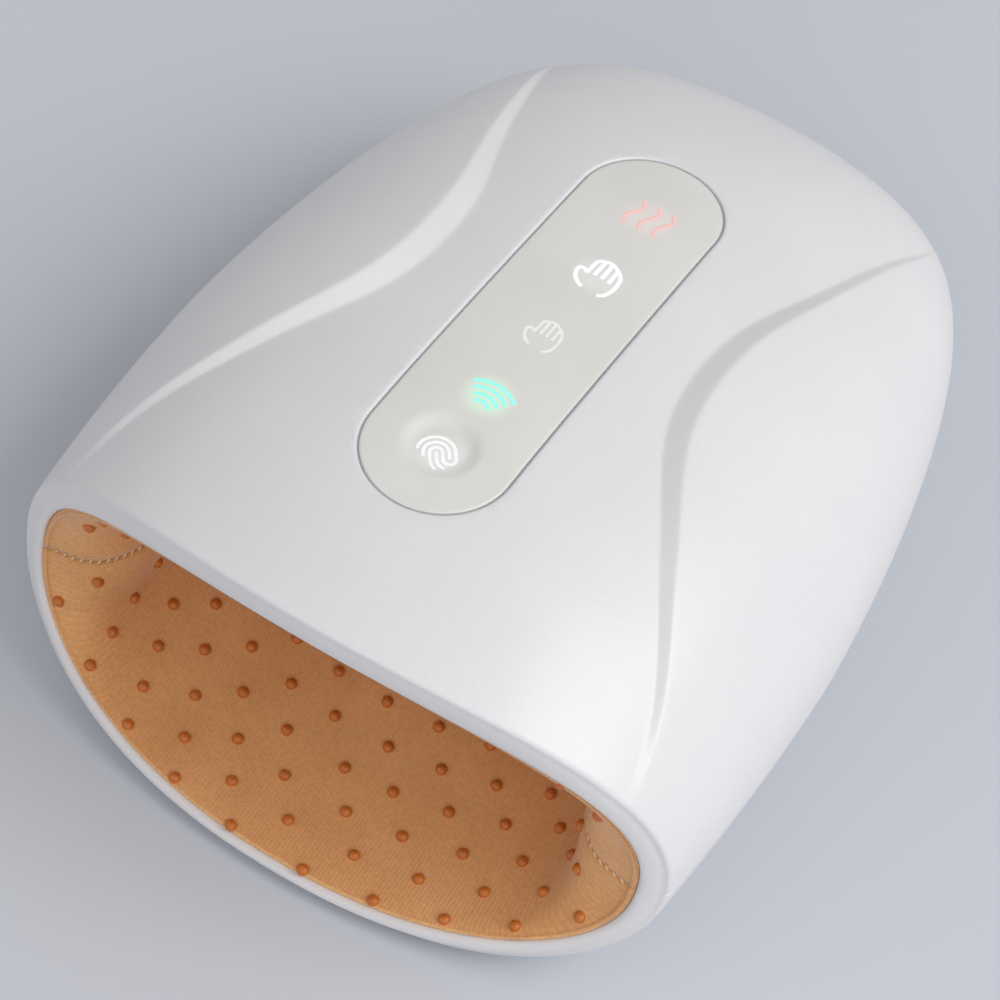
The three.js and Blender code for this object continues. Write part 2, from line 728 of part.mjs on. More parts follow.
// Places of the screws, hooks, posts and feet, on both sides.
// The rear bosses stand midway between the battery's end and the housing's wall.
const rearBossDepth = cellDepth + rearBossSetback;
const batteryReach = cellLength / 2 - batteryOffset;
const rearBossSpread = (batteryReach + halfWidthAt(rearBossDepth) - wall) / 2;
const sideBossPlace = [housingHalfWidth - sideBossInset, sleeveDepth - sideBossAdvance];
const bossPlaces = [sideBossPlace, [rearBossSpread, rearBossDepth]];
const screwPlaces = bossPlaces.flatMap(([x, y]) => [[-x, y], [x, y]]);
const hookDepths = Array.from({ length: hookCount }, (_, k) => hookStart + k * hookPitch);
const hookPlaces = hookDepths.flatMap((y) => [[-1, y], [1, y]]);
const framePlaces = framePostDepths.flatMap((y) => [[-framePostSpread, y], [framePostSpread, y]]);
const footPlaces = footDepths.flatMap((y) => [[-footSpread, y], [footSpread, y]]);
const screwHeadBottom = partingHeight - screwHeadDrop;

// Stack of the panel, from the valley's surface down.
const lensBottom = lensSink + lensThickness;
const ledgeTop = lensBottom + seatGap;
const boardEnds = [panelDepth - panelLength / 2, panelDepth + panelLength / 2];
const boardStackDepth = ledgeTop + ledgeThickness + guideThickness;
const boardEndHeights = boardEnds.map((y) => valleyHeight(panelWidth / 2, y) - boardStackDepth);
const boardTop = (x, y) => THREE.MathUtils.mapLinear(y, ...boardEnds, ...boardEndHeights);
const panelScrewPlaces = [-1, 1].flatMap((end) => [-1, 1].map((side) => [
  side * (panelWidth / 2 + panelBoardBorder - panelScrewInset),
  panelDepth + end * panelScrewReach,
]));

// Distances outside the sleeve's inner face.
const heaterStart = linerThickness + seatGap;
const lowerBagStart = heaterStart + heaterThickness + seatGap;
const upperBagStart = linerThickness + seatGap;
const frameStart = (bagStart) => bagStart + airbagThickness + seatGap;

// Places worked out from the sizes above.
const tongueStart = rimSideSetback + rimThickness + wall;
const cushionRadius = motorRadius + seatGap + pumpCushionThickness;
const pumpHeight = partingHeight + pumpLift;
const pumpMiddle = motorEnd + motorLength / 2;
const pumpRibPlaces = [pumpMiddle - pumpRibSpread / 2, pumpMiddle + pumpRibSpread / 2];
const pumpRibFront = cellDepth + cellRadius + cradleWall + 2 * seatGap;
const batteryMiddle = partingHeight + batteryLift;
const cradleBottom = batteryMiddle - cellGap / 2 - 2 * cellRadius - seatGap - cradleWall;
const cradleRibPlaces = [-1, 1].map((side) => batteryOffset + side * (cellLength / 2 - cradleRibInset));
const manifoldBottom = partingHeight - manifoldHeight / 2;
const manifoldRib = around(manifoldOffset - manifoldWidth / 4, manifoldWidth / 4);
const manifoldMiddle = manifoldDepth + manifoldThickness / 2;
const mainBoardMiddle = partingHeight + mainBoardLift;
const socketMiddle = partingHeight - socketDrop;
const chargeBoardTop = socketMiddle - socketHeight / 2 - seatGap;
const chargeBoardBack = socketDepth - socketLength + chargeBoardOverlap;
const chargePostDepth = chargeBoardBack - chargeBoardLength / 2;
const chargePostPlaces = [-1, 1].map((side) => [(side * chargeBoardWidth) / 4, chargePostDepth]);
const partitionGuidePlaces = [-1, 1].flatMap((side) => [
  [side * partitionGuideSpread, partitionDepth - seatGap - ribThickness / 2],
  [side * partitionGuideSpread, partitionDepth + partitionThickness + seatGap + ribThickness / 2],
]);
const partitionGuideTop = partingHeight - partitionGuideDrop;
const portStartDepth = airbagEnd - 2 * airbagPortRadius;
const upperPortHeight = sleeveHeight(1, airbagPortPlace, portStartDepth, upperBagStart + airbagPortRadius);
const lowerPortHeight = sleeveHeight(-1, airbagPortPlace, portStartDepth, lowerBagStart + airbagPortRadius);

// Height at which a post of a cover ends, clear of the frame on its side of the sleeve.
function postEnd(side, x, depth, bagStart) {
  const distance = frameStart(bagStart) + frameThickness + seatGap;
  return sleeveHeight(side, Math.abs(x) - framePostRadius, depth - framePostRadius, distance);
}

// Block across the side wall near a snap hook, between two distances inside the wall's inner face.
function hookBlock([side, y], [outerDistance, innerDistance], width, [bottom, top]) {
  const face = halfWidthAt(y) - wall;
  const edges = [side * (face - innerDistance), side * (face - outerDistance)].sort((a, b) => a - b);
  return block(edges, around(y, width), [partingHeight + bottom, partingHeight + top]);
}

// Top cover: the crowned shell with the sunk centre, the panel's pocket, bosses, posts and hook pockets.
{
  const angleAt = (depth, across) => {
    return Math.sign(across) * upperAngle(depth, Math.abs(across) * upperColumnCount);
  };
  const shell = coverShell(1, upperPoint, upperColumnCount, angleAt);
  const fill = coverFill(1, upperPoint, upperColumnCount, wall / 2);
  const inside = [
    ...screwPlaces.map(([x, y]) => rod(bossRadius, crownRise, x, y, partingHeight)),
    ...framePlaces.map(([x, y]) => rod(framePostRadius, crownRise, x, y, postEnd(1, x, y, upperBagStart))),
    ...panelScrewPlaces.map(([x, y]) => rod(panelScrewInset, crownRise, x, y, boardTop(x, y) + seatGap)),
  ];
  const pocketBack = pillSlab(pocketBorder, belowValley(wall / 2), belowValley(ledgeTop + ledgeThickness));
  const rebateInside = wall - tongueThickness - fitClearance;
  const rebateTop = partingHeight + tongueHeight + fitClearance;
  const rebateBottom = partingHeight - cutOverrun;
  const screwHoleRadius = screwShankRadius + fitClearance;
  const panelHoleRadius = panelScrewRadius + fitClearance;
  const pocketReach = [-barbReach - fitClearance, cutOverrun];
  const pocketHeights = [hookHeight - barbHeight - fitClearance, hookHeight + fitClearance];
  addPiece("top_cover", pearlShell, cut(
    joined(shell, joined(...inside).intersect(fill), pocketBack),
    pillSlab(fitClearance, belowValley(-cutOverrun), belowValley(ledgeTop)),
    pillSlab(-ledgeWidth, belowValley(-cutOverrun), belowValley(ledgeTop + ledgeThickness + cutOverrun)),
    partingStrip(tongueStart - fitClearance, rebateInside, wall + cutOverrun, rebateBottom, rebateTop),
    ...hookPlaces.map((place) => hookBlock(place, pocketReach, hookWidth + 2 * fitClearance, pocketHeights)),
    ...screwPlaces.map(([x, y]) => rod(screwHoleRadius, screwLength, x, y, rebateBottom)),
    ...panelScrewPlaces.map(([x, y]) => rod(panelHoleRadius, panelScrewLength, x, y, boardTop(x, y))),
  ));
}

// Bottom cover: the tray with its tongue, hooks, screw bosses, foot pads, ribs and openings.
{
  const fill = coverFill(-1, lowerPoint, floorColumnCount, wall / 2);
  const headSeat = screwHeadBottom + screwHeadHeight + seatGap;
  const headHoleRadius = screwHeadRadius + fitClearance;
  const rib = (x, y, top) => block(x, y, [groundClearance, top]);
  const post = ([x, y], top) => rib(around(x, ribThickness), around(y, ribThickness), top);
  const cellRibDepths = around(cellDepth, 2 * cellRadius);
  const cellRib = (x) => rib(around(x, ribThickness), cellRibDepths, cradleBottom - seatGap);
  const pumpRib = (x) => rib(around(x, pumpRibThickness), [pumpRibFront, noseDepth], pumpHeight);
  const framePost = ([x, y]) => {
    const length = postEnd(-1, x, y, lowerBagStart) - groundClearance;
    return rod(framePostRadius, length, x, y, groundClearance);
  };
  const standing = joined(
    ...screwPlaces.map(([x, y]) => rod(bossRadius, housingDrop, x, y, groundClearance)),
    ...screwPlaces.map(([x, y]) => rod(headHoleRadius + wall / 2, headSeat + wall, x, y, 0)),
    ...framePlaces.map(framePost),
    ...cradleRibPlaces.map(cellRib),
    ...pumpRibPlaces.map(pumpRib),
    rib(manifoldRib, around(manifoldMiddle, ribThickness), manifoldBottom - seatGap),
    ...chargePostPlaces.map((place) => post(place, chargeBoardTop - chargeBoardThickness - seatGap)),
    ...partitionGuidePlaces.map((place) => post(place, partitionGuideTop)),
  );
  const hookOutside = hookGap + hookThickness;
  const hooks = hookPlaces.flatMap((place) => [
    hookBlock(place, [-wall / 2, hookOutside], hookWidth, [-hookDrop, -hookDrop / 2]),
    hookBlock(place, [hookGap, hookOutside], hookWidth, [-hookDrop, hookHeight]),
    hookBlock(place, [-barbReach, hookOutside], hookWidth, [hookHeight - barbHeight, hookHeight]),
  ]);
  const padBottom = footHeight - footRecess;
  const pads = footPlaces.map(([x, y]) => rod(footRadius + footBorder, housingDrop, x, y, padBottom));
  const tongueTop = partingHeight + tongueHeight;
  const tongue = partingStrip(tongueStart, wall - tongueThickness, wall, partingHeight - wall, tongueTop);
  const shell = coverShell(-1, lowerPoint, floorColumnCount, (depth, across) => across * quarterTurn);
  const roomRadius = cushionRadius + seatGap;
  const pumpRoom = rod(roomRadius, motorLength, motorEnd, pumpDepth, pumpHeight, "x", roundStepCount);
  const slotTop = partingHeight - housingDrop / 2;
  const slots = Array.from({ length: slotCount }, (_, k) => {
    const middle = (k - (slotCount - 1) / 2) * slotPitch;
    return block(around(middle, slotWidth), around(slotDepth, slotLength), [0, slotTop]);
  });
  const footHoleRadius = footRadius + fitClearance;
  const footHole = ([x, y]) => rod(footHoleRadius, footHeight + seatGap, x, y, 0, "z", roundStepCount);
  const screwHoleRadius = screwShankRadius + fitClearance;
  const socketHole = roundedBar(socketWidth + 2 * fitClearance, socketHeight + 2 * fitClearance, noseDepth);
  addPiece("bottom_cover", pearlShell, cut(
    joined(shell, cut(standing.intersect(fill), pumpRoom), cut(joined(...pads), fill), tongue, ...hooks),
    ...screwPlaces.map(([x, y]) => rod(screwHoleRadius, housingDrop, x, y, headSeat - cutOverrun)),
    ...screwPlaces.map(([x, y]) => rod(headHoleRadius, headSeat, x, y, 0)),
    ...footPlaces.map(footHole),
    ...slots,
    socketHole.translate([0, socketDepth - socketLength, socketMiddle]),
    roundedBar(plugWidth, plugHeight, noseDepth).translate([0, socketDepth + seatGap, socketMiddle]),
  ));
}

// Rubber feet and screws.
footPlaces.forEach(([x, y], k) => {
  const edge = footHeight / 4;
  const side = [[footRadius - edge, 0], [footRadius, edge], [footRadius, footHeight]];
  addPiece(`foot_${k + 1}`, blackRubber, turned([[0, 0], ...side, [0, footHeight]]).translate([x, y, 0]));
});
function screw(headRadius, headHeight, shankRadius, length) {
  const tip = headHeight + length;
  const head = [[headRadius - headHeight / 2, 0], [headRadius, headHeight / 2], [headRadius, headHeight]];
  const shank = [[shankRadius, headHeight], [shankRadius, tip - shankRadius]];
  return turned([[0, 0], ...head, ...shank, [0, tip]], smallRoundStepCount);
}
screwPlaces.forEach(([x, y], k) => {
  const body = screw(screwHeadRadius, screwHeadHeight, screwShankRadius, screwLength);
  addPiece(`cover_screw_${k + 1}`, steel, body.translate([x, y, screwHeadBottom]));
});
const panelScrewHeadHeight = panelScrewRadius;
panelScrewPlaces.forEach(([x, y], k) => {
  const headRadius = 2 * panelScrewRadius;
  const body = screw(headRadius, panelScrewHeadHeight, panelScrewRadius, panelScrewLength - seatGap);
  const headTop = boardTop(x, y + headRadius) - panelBoardThickness - seatGap;
  addPiece(`panel_screw_${k + 1}`, steel, body.translate([x, y, headTop - panelScrewHeadHeight]));
});

// Panel lens with the touch dish pressed into it.
{
  const capRadius = (quadratic(dishRadius) + quadratic(dishSink)) / (2 * dishSink);
  const capAngle = Math.asin(dishRadius / capRadius);
  const arc = Array.from({ length: arcStepCount + 1 }, (_, k) => {
    const turn = (capAngle * k) / arcStepCount;
    return [capRadius * Math.sin(turn), capRadius - dishSink - capRadius * Math.cos(turn)];
  });
  const dish = turned([...arc, [dishRadius, cutOverrun], [0, cutOverrun]]);
  const dishTop = valleyHeight(0, dishDepthPlace) - lensSink;
  addPiece("panel_lens", panelGlaze, cut(
    pillSlab(0, belowValley(lensSink), belowValley(lensBottom)),
    dish.translate([0, dishDepthPlace, dishTop]),
  ));
}

// Light guide with a well for each lamp, the board that carries the lamps, and the touch contact.
{
  const guideBottom = (x, y) => boardTop(x, y) + seatGap;
  const guide = pillSlab(-ledgeWidth - fitClearance, belowValley(ledgeTop), guideBottom);
  const wellPlaces = [dishDepthPlace, ...lightPlaces];
  const wells = wellPlaces.map((y) => rod(lightWellRadius, crownRise, 0, y, partingHeight));
  addPiece("light_guide", milkyPlastic, cut(guide, ...wells));

  const boardBottom = (x, y) => boardTop(x, y) - panelBoardThickness;
  const lamp = (y) => {
    const heights = [boardTop(0, y) - panelBoardThickness / 2, boardTop(0, y) + lampHeight];
    return block(around(0, lampWidth), around(y, lampWidth), heights);
  };
  const chipTop = boardTop(0, panelDepth) - panelBoardThickness / 2;
  const chipBottom = boardBottom(0, panelDepth) - chipHeight;
  const chip = block(around(0, chipWidth), around(panelDepth, chipWidth), [chipBottom, chipTop]);
  const hole = ([x, y]) => {
    const bottom = boardBottom(x, y) - cutOverrun;
    return rod(panelScrewRadius + fitClearance, 2 * cutOverrun + panelBoardThickness, x, y, bottom);
  };
  const plate = pillSlab(panelBoardBorder, boardTop, boardBottom);
  const holes = panelScrewPlaces.map(hole);
  addPiece("panel_board", boardLacquer, cut(joined(plate, ...lightPlaces.map(lamp), chip), ...holes));

  const contactBottom = guideBottom(0, dishDepthPlace - contactRadius);
  const contactTop = valleyHeight(contactRadius, dishDepthPlace) - lensBottom - seatGap;
  const contact = rod(contactRadius, contactTop - contactBottom, 0, dishDepthPlace, contactBottom);
  addPiece("touch_contact", copperWire, contact);
}

// Fabric sleeve, in an upper and a lower half that meet at the side seams and close round the fingertips.
for (const [name, side] of [["liner_upper", 1], ["liner_lower", -1]]) {
  const pointAt = (distance) => (row, column) => {
    const angle = sleeveAngle(column - sleeveColumnCount);
    const mouth = sleevePoint(side, 0, angle);
    const front = rimDepth(mouth.x, mouth.z) + sleeveSetback;
    return outsideSleeve(side, sleeveRowDepth(row, front), angle, distance);
  };
  const fabric = sheet(sleeveRowCount, 2 * sleeveColumnCount, pointAt(linerThickness), pointAt(0));
  addPiece(name, knitFabric, solid(fabric));
}

// Air cushions above and below the hand, each a pillow welded at its edge with a port at the back.
const airbags = [["airbag_upper", 1, upperBagStart], ["airbag_lower", -1, lowerBagStart]];
for (const [name, side, start] of airbags) {
  const flatness = (place) => 1 - quadratic(quadratic(place));
  const swell = (across, along) => (airbagThickness - airbagSeam) * flatness(across) * flatness(along);
  const outer = (across, along) => start + airbagSeam + swell(across, along);
  const portHeight = side > 0 ? upperPortHeight : lowerPortHeight;
  const portLength = airbagPortLength + 2 * airbagPortRadius;
  const port = rod(airbagPortRadius, portLength, airbagPortPlace, portStartDepth, portHeight, "y");
  addPiece(name, airbagFilm, joined(sleevePatch(side, 0, () => start, outer), port));
}

// Heating film under the palm, and the two frames that back the air cushions.
const heaterEnd = heaterStart + heaterThickness;
addPiece("heating_film", carbonFilm, sleevePatch(-1, 1, () => heaterStart, () => heaterEnd));
const frames = [["frame_upper", 1, upperBagStart], ["frame_lower", -1, lowerBagStart]];
for (const [name, side, bagStart] of frames) {
  const start = frameStart(bagStart);
  addPiece(name, greyPlastic, sleevePatch(side, 1, () => start, () => start + frameThickness));
}

// Partition between the sleeve and the rear bay, with standoffs for the main board.
{
  const depth = partitionDepth + partitionThickness;
  const border = wall + partitionClearance;
  const halfWidth = halfWidthAt(depth) - border;
  const outline = (side, height, [acrossPower, upPower], angle) => {
    const x = halfWidth * Math.sign(angle) * Math.abs(Math.sin(angle)) ** (2 / acrossPower);
    const over = height * Math.max(Math.cos(angle), 0) ** (2 / upPower);
    return new THREE.Vector2(x, partingHeight + side * over);
  };
  const halfCount = roundStepCount / 2;
  const turns = Array.from({ length: roundStepCount }, (_, k) => (quarterTurn * (k - halfCount)) / halfCount);
  const rise = riseAt(depth) - valleyDepthAt(depth) - border;
  const drop = dropAt(depth) - border;
  const shape = new THREE.Shape([
    ...turns.map((turn) => outline(1, rise, upperSectionShares, turn)),
    ...turns.map((turn) => outline(-1, drop, lowerSectionShares, -turn)),
  ]);
  const options = { depth: partitionThickness, bevelEnabled: false };
  const plate = solid(new THREE.ExtrudeGeometry(shape, options).rotateX(quarterTurn));
  const middle = depth - partitionThickness / 2;
  const standoffReach = partitionThickness / 2 + standoffLength;
  const standoff = ([x, z]) => rod(standoffRadius, standoffReach, x, middle, z, "y");
  const hoseHoleRadius = hoseRadius + 2 * fitClearance;
  const hoseHoleStart = partitionDepth - cutOverrun;
  const hoseHoleLength = partitionThickness + 2 * cutOverrun;
  const hoseHole = (height) => {
    return rod(hoseHoleRadius, hoseHoleLength, airbagPortPlace, hoseHoleStart, height, "y");
  };
  const corners = [-1, 1].flatMap((side) => [-1, 1].map((end) => [
    side * (mainBoardWidth / 2 - 2 * standoffRadius),
    mainBoardMiddle + end * (mainBoardHeight / 2 - 2 * standoffRadius),
  ]));
  const notchHalf = panelWidth / 2 + Math.max(pocketBorder, panelBoardBorder) + seatGap;
  const notchBottom = boardTop(0, depth) - panelBoardThickness - 2 * seatGap;
  addPiece("rear_partition", greyPlastic, cut(
    joined(plate.translate([0, depth, 0]), ...corners.map(standoff)),
    block(around(0, 2 * notchHalf), around(middle, 2 * cutOverrun), [notchBottom, partingHeight + crownRise]),
    hoseHole(upperPortHeight),
    hoseHole(lowerPortHeight),
  ));

  const boardFront = depth + standoffLength + seatGap;
  const boardBack = boardFront + mainBoardThickness;
  const boardHeights = around(mainBoardMiddle, mainBoardHeight);
  const fitted = boardPartShares.map(([x, z], k) => {
    const [width, height, thickness] = boardPartSizes[k];
    const depths = [boardBack - mainBoardThickness / 2, boardBack + thickness];
    const heights = around(mainBoardMiddle + z * mainBoardHeight, height);
    return block(around(x * mainBoardWidth, width), depths, heights);
  });
  const board = block(around(0, mainBoardWidth), [boardFront, boardBack], boardHeights);
  addPiece("main_board", boardLacquer, joined(board, ...fitted));
}

// Battery cells in their cradle.
{
  const cellStart = batteryOffset - cellLength / 2;
  const cellHeights = [-1, 1].map((side) => batteryMiddle + side * (cellRadius + cellGap / 2));
  cellHeights.forEach((height, k) => {
    const cap = cellRadius / 3;
    const canEnd = cellLength - capHeight;
    const low = [[0, 0], [cellRadius - cellGap, 0], [cellRadius, cellGap]];
    const high = [[cellRadius, canEnd - cellGap], [cellRadius - cellGap, canEnd]];
    const body = turned([...low, ...high, [cap, canEnd], [cap, cellLength], [0, cellLength]]);
    addPiece(`battery_cell_${k + 1}`, cellWrap, alongX(body).translate([cellStart, cellDepth, height]));
  });
  const room = cellHeights.map((height) => rod(
    cellRadius + seatGap, 2 * cellLength, batteryOffset - cellLength, cellDepth, height, "x", roundStepCount,
  ));
  const outside = cellRadius + seatGap + cradleWall;
  const baseHeights = [cradleBottom, cradleBottom + cradleWall];
  const baseLength = cellLength - 2 * (cradleRibInset - cradleRibThickness);
  const base = block(around(batteryOffset, baseLength), around(cellDepth, cellRadius), baseHeights);
  const saddles = cradleRibPlaces.flatMap((x) => {
    const widths = around(x, cradleRibThickness);
    return [
      block(widths, [cellDepth - outside, cellDepth], [cradleBottom, cellHeights[1]]),
      block(widths, [cellDepth, cellDepth + outside], [cradleBottom, cellHeights[0]]),
    ];
  });
  addPiece("battery_cradle", greyPlastic, cut(joined(base, ...saddles), ...room));
}

// Air pump: motor in its rubber cushion, rotor with the crank, wobble plate, diaphragm, head and outlet cap.
{
  const axis = (body, start) => alongX(body).translate([start, pumpDepth, pumpHeight]);
  const bore = shaftRadius + runningClearance;
  const noseEnd = motorLength + motorNoseLength;
  const canEdge = [[motorRadius - motorNoseLength, 0], [motorRadius, motorNoseLength]];
  const nose = [[motorNoseRadius, motorLength], [motorNoseRadius, noseEnd], [bore, noseEnd]];
  const bottom = [[bore, motorLength - shaftDepth], [0, motorLength - shaftDepth]];
  const motor = turned([[0, 0], ...canEdge, [motorRadius, motorLength], ...nose, ...bottom]);
  addPiece("pump_motor", steel, axis(motor, motorEnd));

  const ring = (inner, outer, length) => {
    return turned([[inner, 0], [outer, 0], [outer, length], [inner, length], [inner, 0]]);
  };
  const cushion = ring(motorRadius + seatGap, cushionRadius, pumpCushionLength);
  addPiece("pump_cushion", blackRubber, axis(cushion, pumpMiddle - pumpCushionLength / 2));

  const shaftStart = motorEnd + motorLength - shaftDepth + seatGap;
  const crankStart = motorEnd + motorLength + motorNoseLength + seatGap;
  const shaftLength = crankStart - shaftStart + crankLength / 2;
  const shaft = rod(shaftRadius, shaftLength, shaftStart, pumpDepth, pumpHeight, "x", roundStepCount);
  const crank = rod(crankRadius, crankLength, crankStart, pumpDepth, pumpHeight, "x", roundStepCount);
  const pinStart = crankStart + crankLength / 2;
  const pinLength = crankLength / 2 + seatGap + wobblerThickness;
  const pin = rod(crankPinRadius, pinLength, pinStart, pumpDepth, pumpHeight + crankOffset, "x");
  addPiece("pump_rotor", steel, joined(shaft, crank, pin));

  const headStart = motorEnd + motorLength + seatGap;
  const headInside = pumpHeadRadius - pumpHeadWall;
  const headFloor = pumpHeadLength - pumpHeadWall;
  const headOutside = [[pumpHeadRadius, 0], [pumpHeadRadius, pumpHeadLength], [0, pumpHeadLength]];
  const headRoom = [[0, headFloor], [headInside, headFloor], [headInside, 0]];
  const head = turned([[headInside, 0], ...headOutside, ...headRoom]);
  const chambers = Array.from({ length: cupCount }, (_, k) => {
    const turn = (2 * Math.PI * k) / cupCount;
    return [pumpDepth + cupOffset * Math.cos(turn), pumpHeight + cupOffset * Math.sin(turn)];
  });
  const portStart = headStart + headFloor - cutOverrun;
  const portLength = pumpHeadWall + 2 * cutOverrun;
  const headPorts = chambers.map(([y, z]) => rod(airPortRadius, portLength, portStart, y, z, "x"));
  addPiece("pump_head", darkPlastic, cut(axis(head, headStart), ...headPorts));

  const plateStart = crankStart + crankLength + seatGap;
  const plateHole = crankOffset + crankPinRadius + 2 * fitClearance;
  const plate = ring(plateHole, wobblerRadius, wobblerThickness);
  addPiece("pump_wobbler", milkyPlastic, axis(plate, plateStart));

  const diaphragmStart = plateStart + wobblerThickness + seatGap;
  const discRadius = headInside - seatGap;
  const discSide = [[discRadius, 0], [discRadius, diaphragmThickness]];
  const disc = axis(turned([[0, 0], ...discSide, [0, diaphragmThickness]]), diaphragmStart);
  const cupEnd = headStart + headFloor - seatGap;
  const cups = chambers.map(([y, z]) => rod(cupRadius, cupEnd - diaphragmStart, diaphragmStart, y, z, "x"));
  addPiece("pump_diaphragm", blackRubber, joined(disc, ...cups));

  const capStart = headStart + pumpHeadLength + seatGap;
  const edge = pumpCapLength / 4;
  const nippleEnd = pumpCapLength + nippleLength;
  const capSide = [[pumpHeadRadius, pumpCapLength - edge], [pumpHeadRadius - edge, pumpCapLength]];
  const nipple = [[nippleRadius, pumpCapLength], [nippleRadius, nippleEnd]];
  const cap = turned([[0, 0], [pumpHeadRadius, 0], ...capSide, ...nipple, [0, nippleEnd]]);
  const outlet = rod(airPortRadius, nippleEnd, capStart + pumpCapLength / 2, pumpDepth, pumpHeight, "x");
  addPiece("pump_cap", darkPlastic, cut(axis(cap, capStart), outlet));
}

// Air manifold, and two solenoid valves that let the cushions down again.
{
  const [front, back] = [manifoldDepth, manifoldDepth + manifoldThickness];
  const top = manifoldBottom + manifoldHeight;
  const nippleReach = manifoldNipple + manifoldThickness / 2;
  addPiece("air_manifold", darkPlastic, joined(
    block(around(manifoldOffset, manifoldWidth), [front, back], [manifoldBottom, top]),
    rod(nippleRadius, nippleReach, manifoldOffset, manifoldMiddle, top - manifoldThickness / 2),
    rod(nippleRadius, nippleReach, manifoldOffset, manifoldMiddle, manifoldBottom - manifoldNipple),
    rod(nippleRadius, nippleReach, manifoldInlet, manifoldMiddle, pumpHeight, "y"),
  ));
  [-1, 1].forEach((side, k) => {
    const x = manifoldOffset + (side * valveSpacing) / 2;
    const y = front - seatGap - valveWidth / 2;
    const bottom = partingHeight - valveHeight / 2;
    const body = block(around(x, valveWidth), around(y, valveWidth), [bottom, bottom + valveHeight]);
    const boreRadius = plungerRadius + runningClearance;
    const bore = rod(boreRadius, valveHeight, x, y, bottom + valveFloor, "z", roundStepCount);
    const inlet = rod(airPortRadius, valveWidth, x, y, bottom + valveFloor + boreRadius, "y");
    addPiece(`valve_body_${k + 1}`, darkPlastic, cut(body, bore, inlet));

    const plungerBottom = bottom + valveFloor + seatGap;
    const plungerTop = plungerBottom + plungerLength;
    const plunger = rod(plungerRadius, plungerLength, x, y, plungerBottom, "z", roundStepCount);
    addPiece(`valve_plunger_${k + 1}`, steel, plunger);
    const capBottom = bottom + valveHeight + seatGap;
    const capHeights = [capBottom, capBottom + valveCapThickness];
    addPiece(`valve_cap_${k + 1}`, steel, block(around(x, valveWidth), around(y, valveWidth), capHeights));

    const springBottom = plungerTop + springWireRadius + seatGap;
    const springTop = bottom + valveHeight - springWireRadius;
    const stepCount = springTurnCount * springStepCount;
    const coil = Array.from({ length: stepCount + 1 }, (_, n) => {
      const turn = (2 * Math.PI * n) / springStepCount;
      const height = THREE.MathUtils.lerp(springBottom, springTop, n / stepCount);
      return new THREE.Vector3(x + springRadius * Math.cos(turn), y + springRadius * Math.sin(turn), height);
    });
    addPiece(`valve_spring_${k + 1}`, steel, tube(coil, springWireRadius, springSideCount, stepCount));
  });
}

// Silicone hoses: pump to manifold, and manifold to the port of each air cushion.
{
  const pumpEnd = motorEnd + motorLength + pumpHeadLength + pumpCapLength + nippleLength + 2 * seatGap;
  const outlet = pumpEnd + seatGap;
  const inletEnd = manifoldDepth + manifoldThickness + manifoldNipple + seatGap;
  const bend = 2 * hoseRadius;
  const pumpRoute = [
    [outlet, pumpDepth, pumpHeight],
    [outlet + bend, pumpDepth, pumpHeight],
    [manifoldInlet - bend, pumpDepth, pumpHeight],
    [manifoldInlet, inletEnd + hoseRadius / 2, pumpHeight],
    [manifoldInlet, inletEnd, pumpHeight],
  ];
  const portEnd = airbagEnd + airbagPortLength + seatGap;
  const bagRoute = (side, portHeight) => {
    const start = partingHeight + side * (manifoldHeight / 2 + manifoldNipple + seatGap);
    const toPort = (share) => THREE.MathUtils.lerp(start, portHeight, share);
    return [
      [manifoldOffset, manifoldMiddle, start],
      [manifoldOffset, manifoldMiddle, start + side * hoseRadius],
      [manifoldOffset, manifoldMiddle - bend, toPort(hoseTurnShare)],
      [manifoldOffset, cellDepth, toPort(hoseFlatShare)],
      [airbagPortPlace, partitionDepth, portHeight],
      [airbagPortPlace, portEnd, portHeight],
    ];
  };
  const routes = {
    hose_pump: pumpRoute,
    hose_upper: bagRoute(1, upperPortHeight),
    hose_lower: bagRoute(-1, lowerPortHeight),
  };
  for (const [name, route] of Object.entries(routes)) {
    const points = route.map((point) => new THREE.Vector3(...point));
    addPiece(name, hoseSilicone, tube(points, hoseRadius, hoseSideCount, hoseStepCount));
  }
}

// Charging socket with its tongue, on a small board over the floor.
{
  const shell = roundedBar(socketWidth, socketHeight, socketLength);
  const inside = roundedBar(socketWidth - 2 * socketShell, socketHeight - 2 * socketShell, socketLength);
  const tongueDepths = [socketShell / 2, socketLength - socketHeight / 2];
  const tongue = block(around(0, socketTongueWidth), tongueDepths, around(0, socketTongueHeight));
  const body = joined(cut(shell, inside.translate([0, socketShell, 0])), tongue);
  addPiece("charging_socket", steel, body.translate([0, socketDepth - socketLength, socketMiddle]));
  const boardDepths = [chargeBoardBack - chargeBoardLength, chargeBoardBack];
  const boardHeights = [chargeBoardTop - chargeBoardThickness, chargeBoardTop];
  addPiece("charging_board", boardLacquer, block(around(0, chargeBoardWidth), boardDepths, boardHeights));
}

// The origin lies under the middle of the housing, on the surface that it stands on.
const frontDepth = mouthPoint(-1, 0).y - rimBulge;
parts.position.set(0, -(noseDepth + frontDepth) / 2, 0);
export default parts;
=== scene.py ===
# Hand massager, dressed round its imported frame. Metres, +Z up, +Y from the mouth to the nose.
import math

import bmesh
import bpy
from mathutils import Matrix, Vector


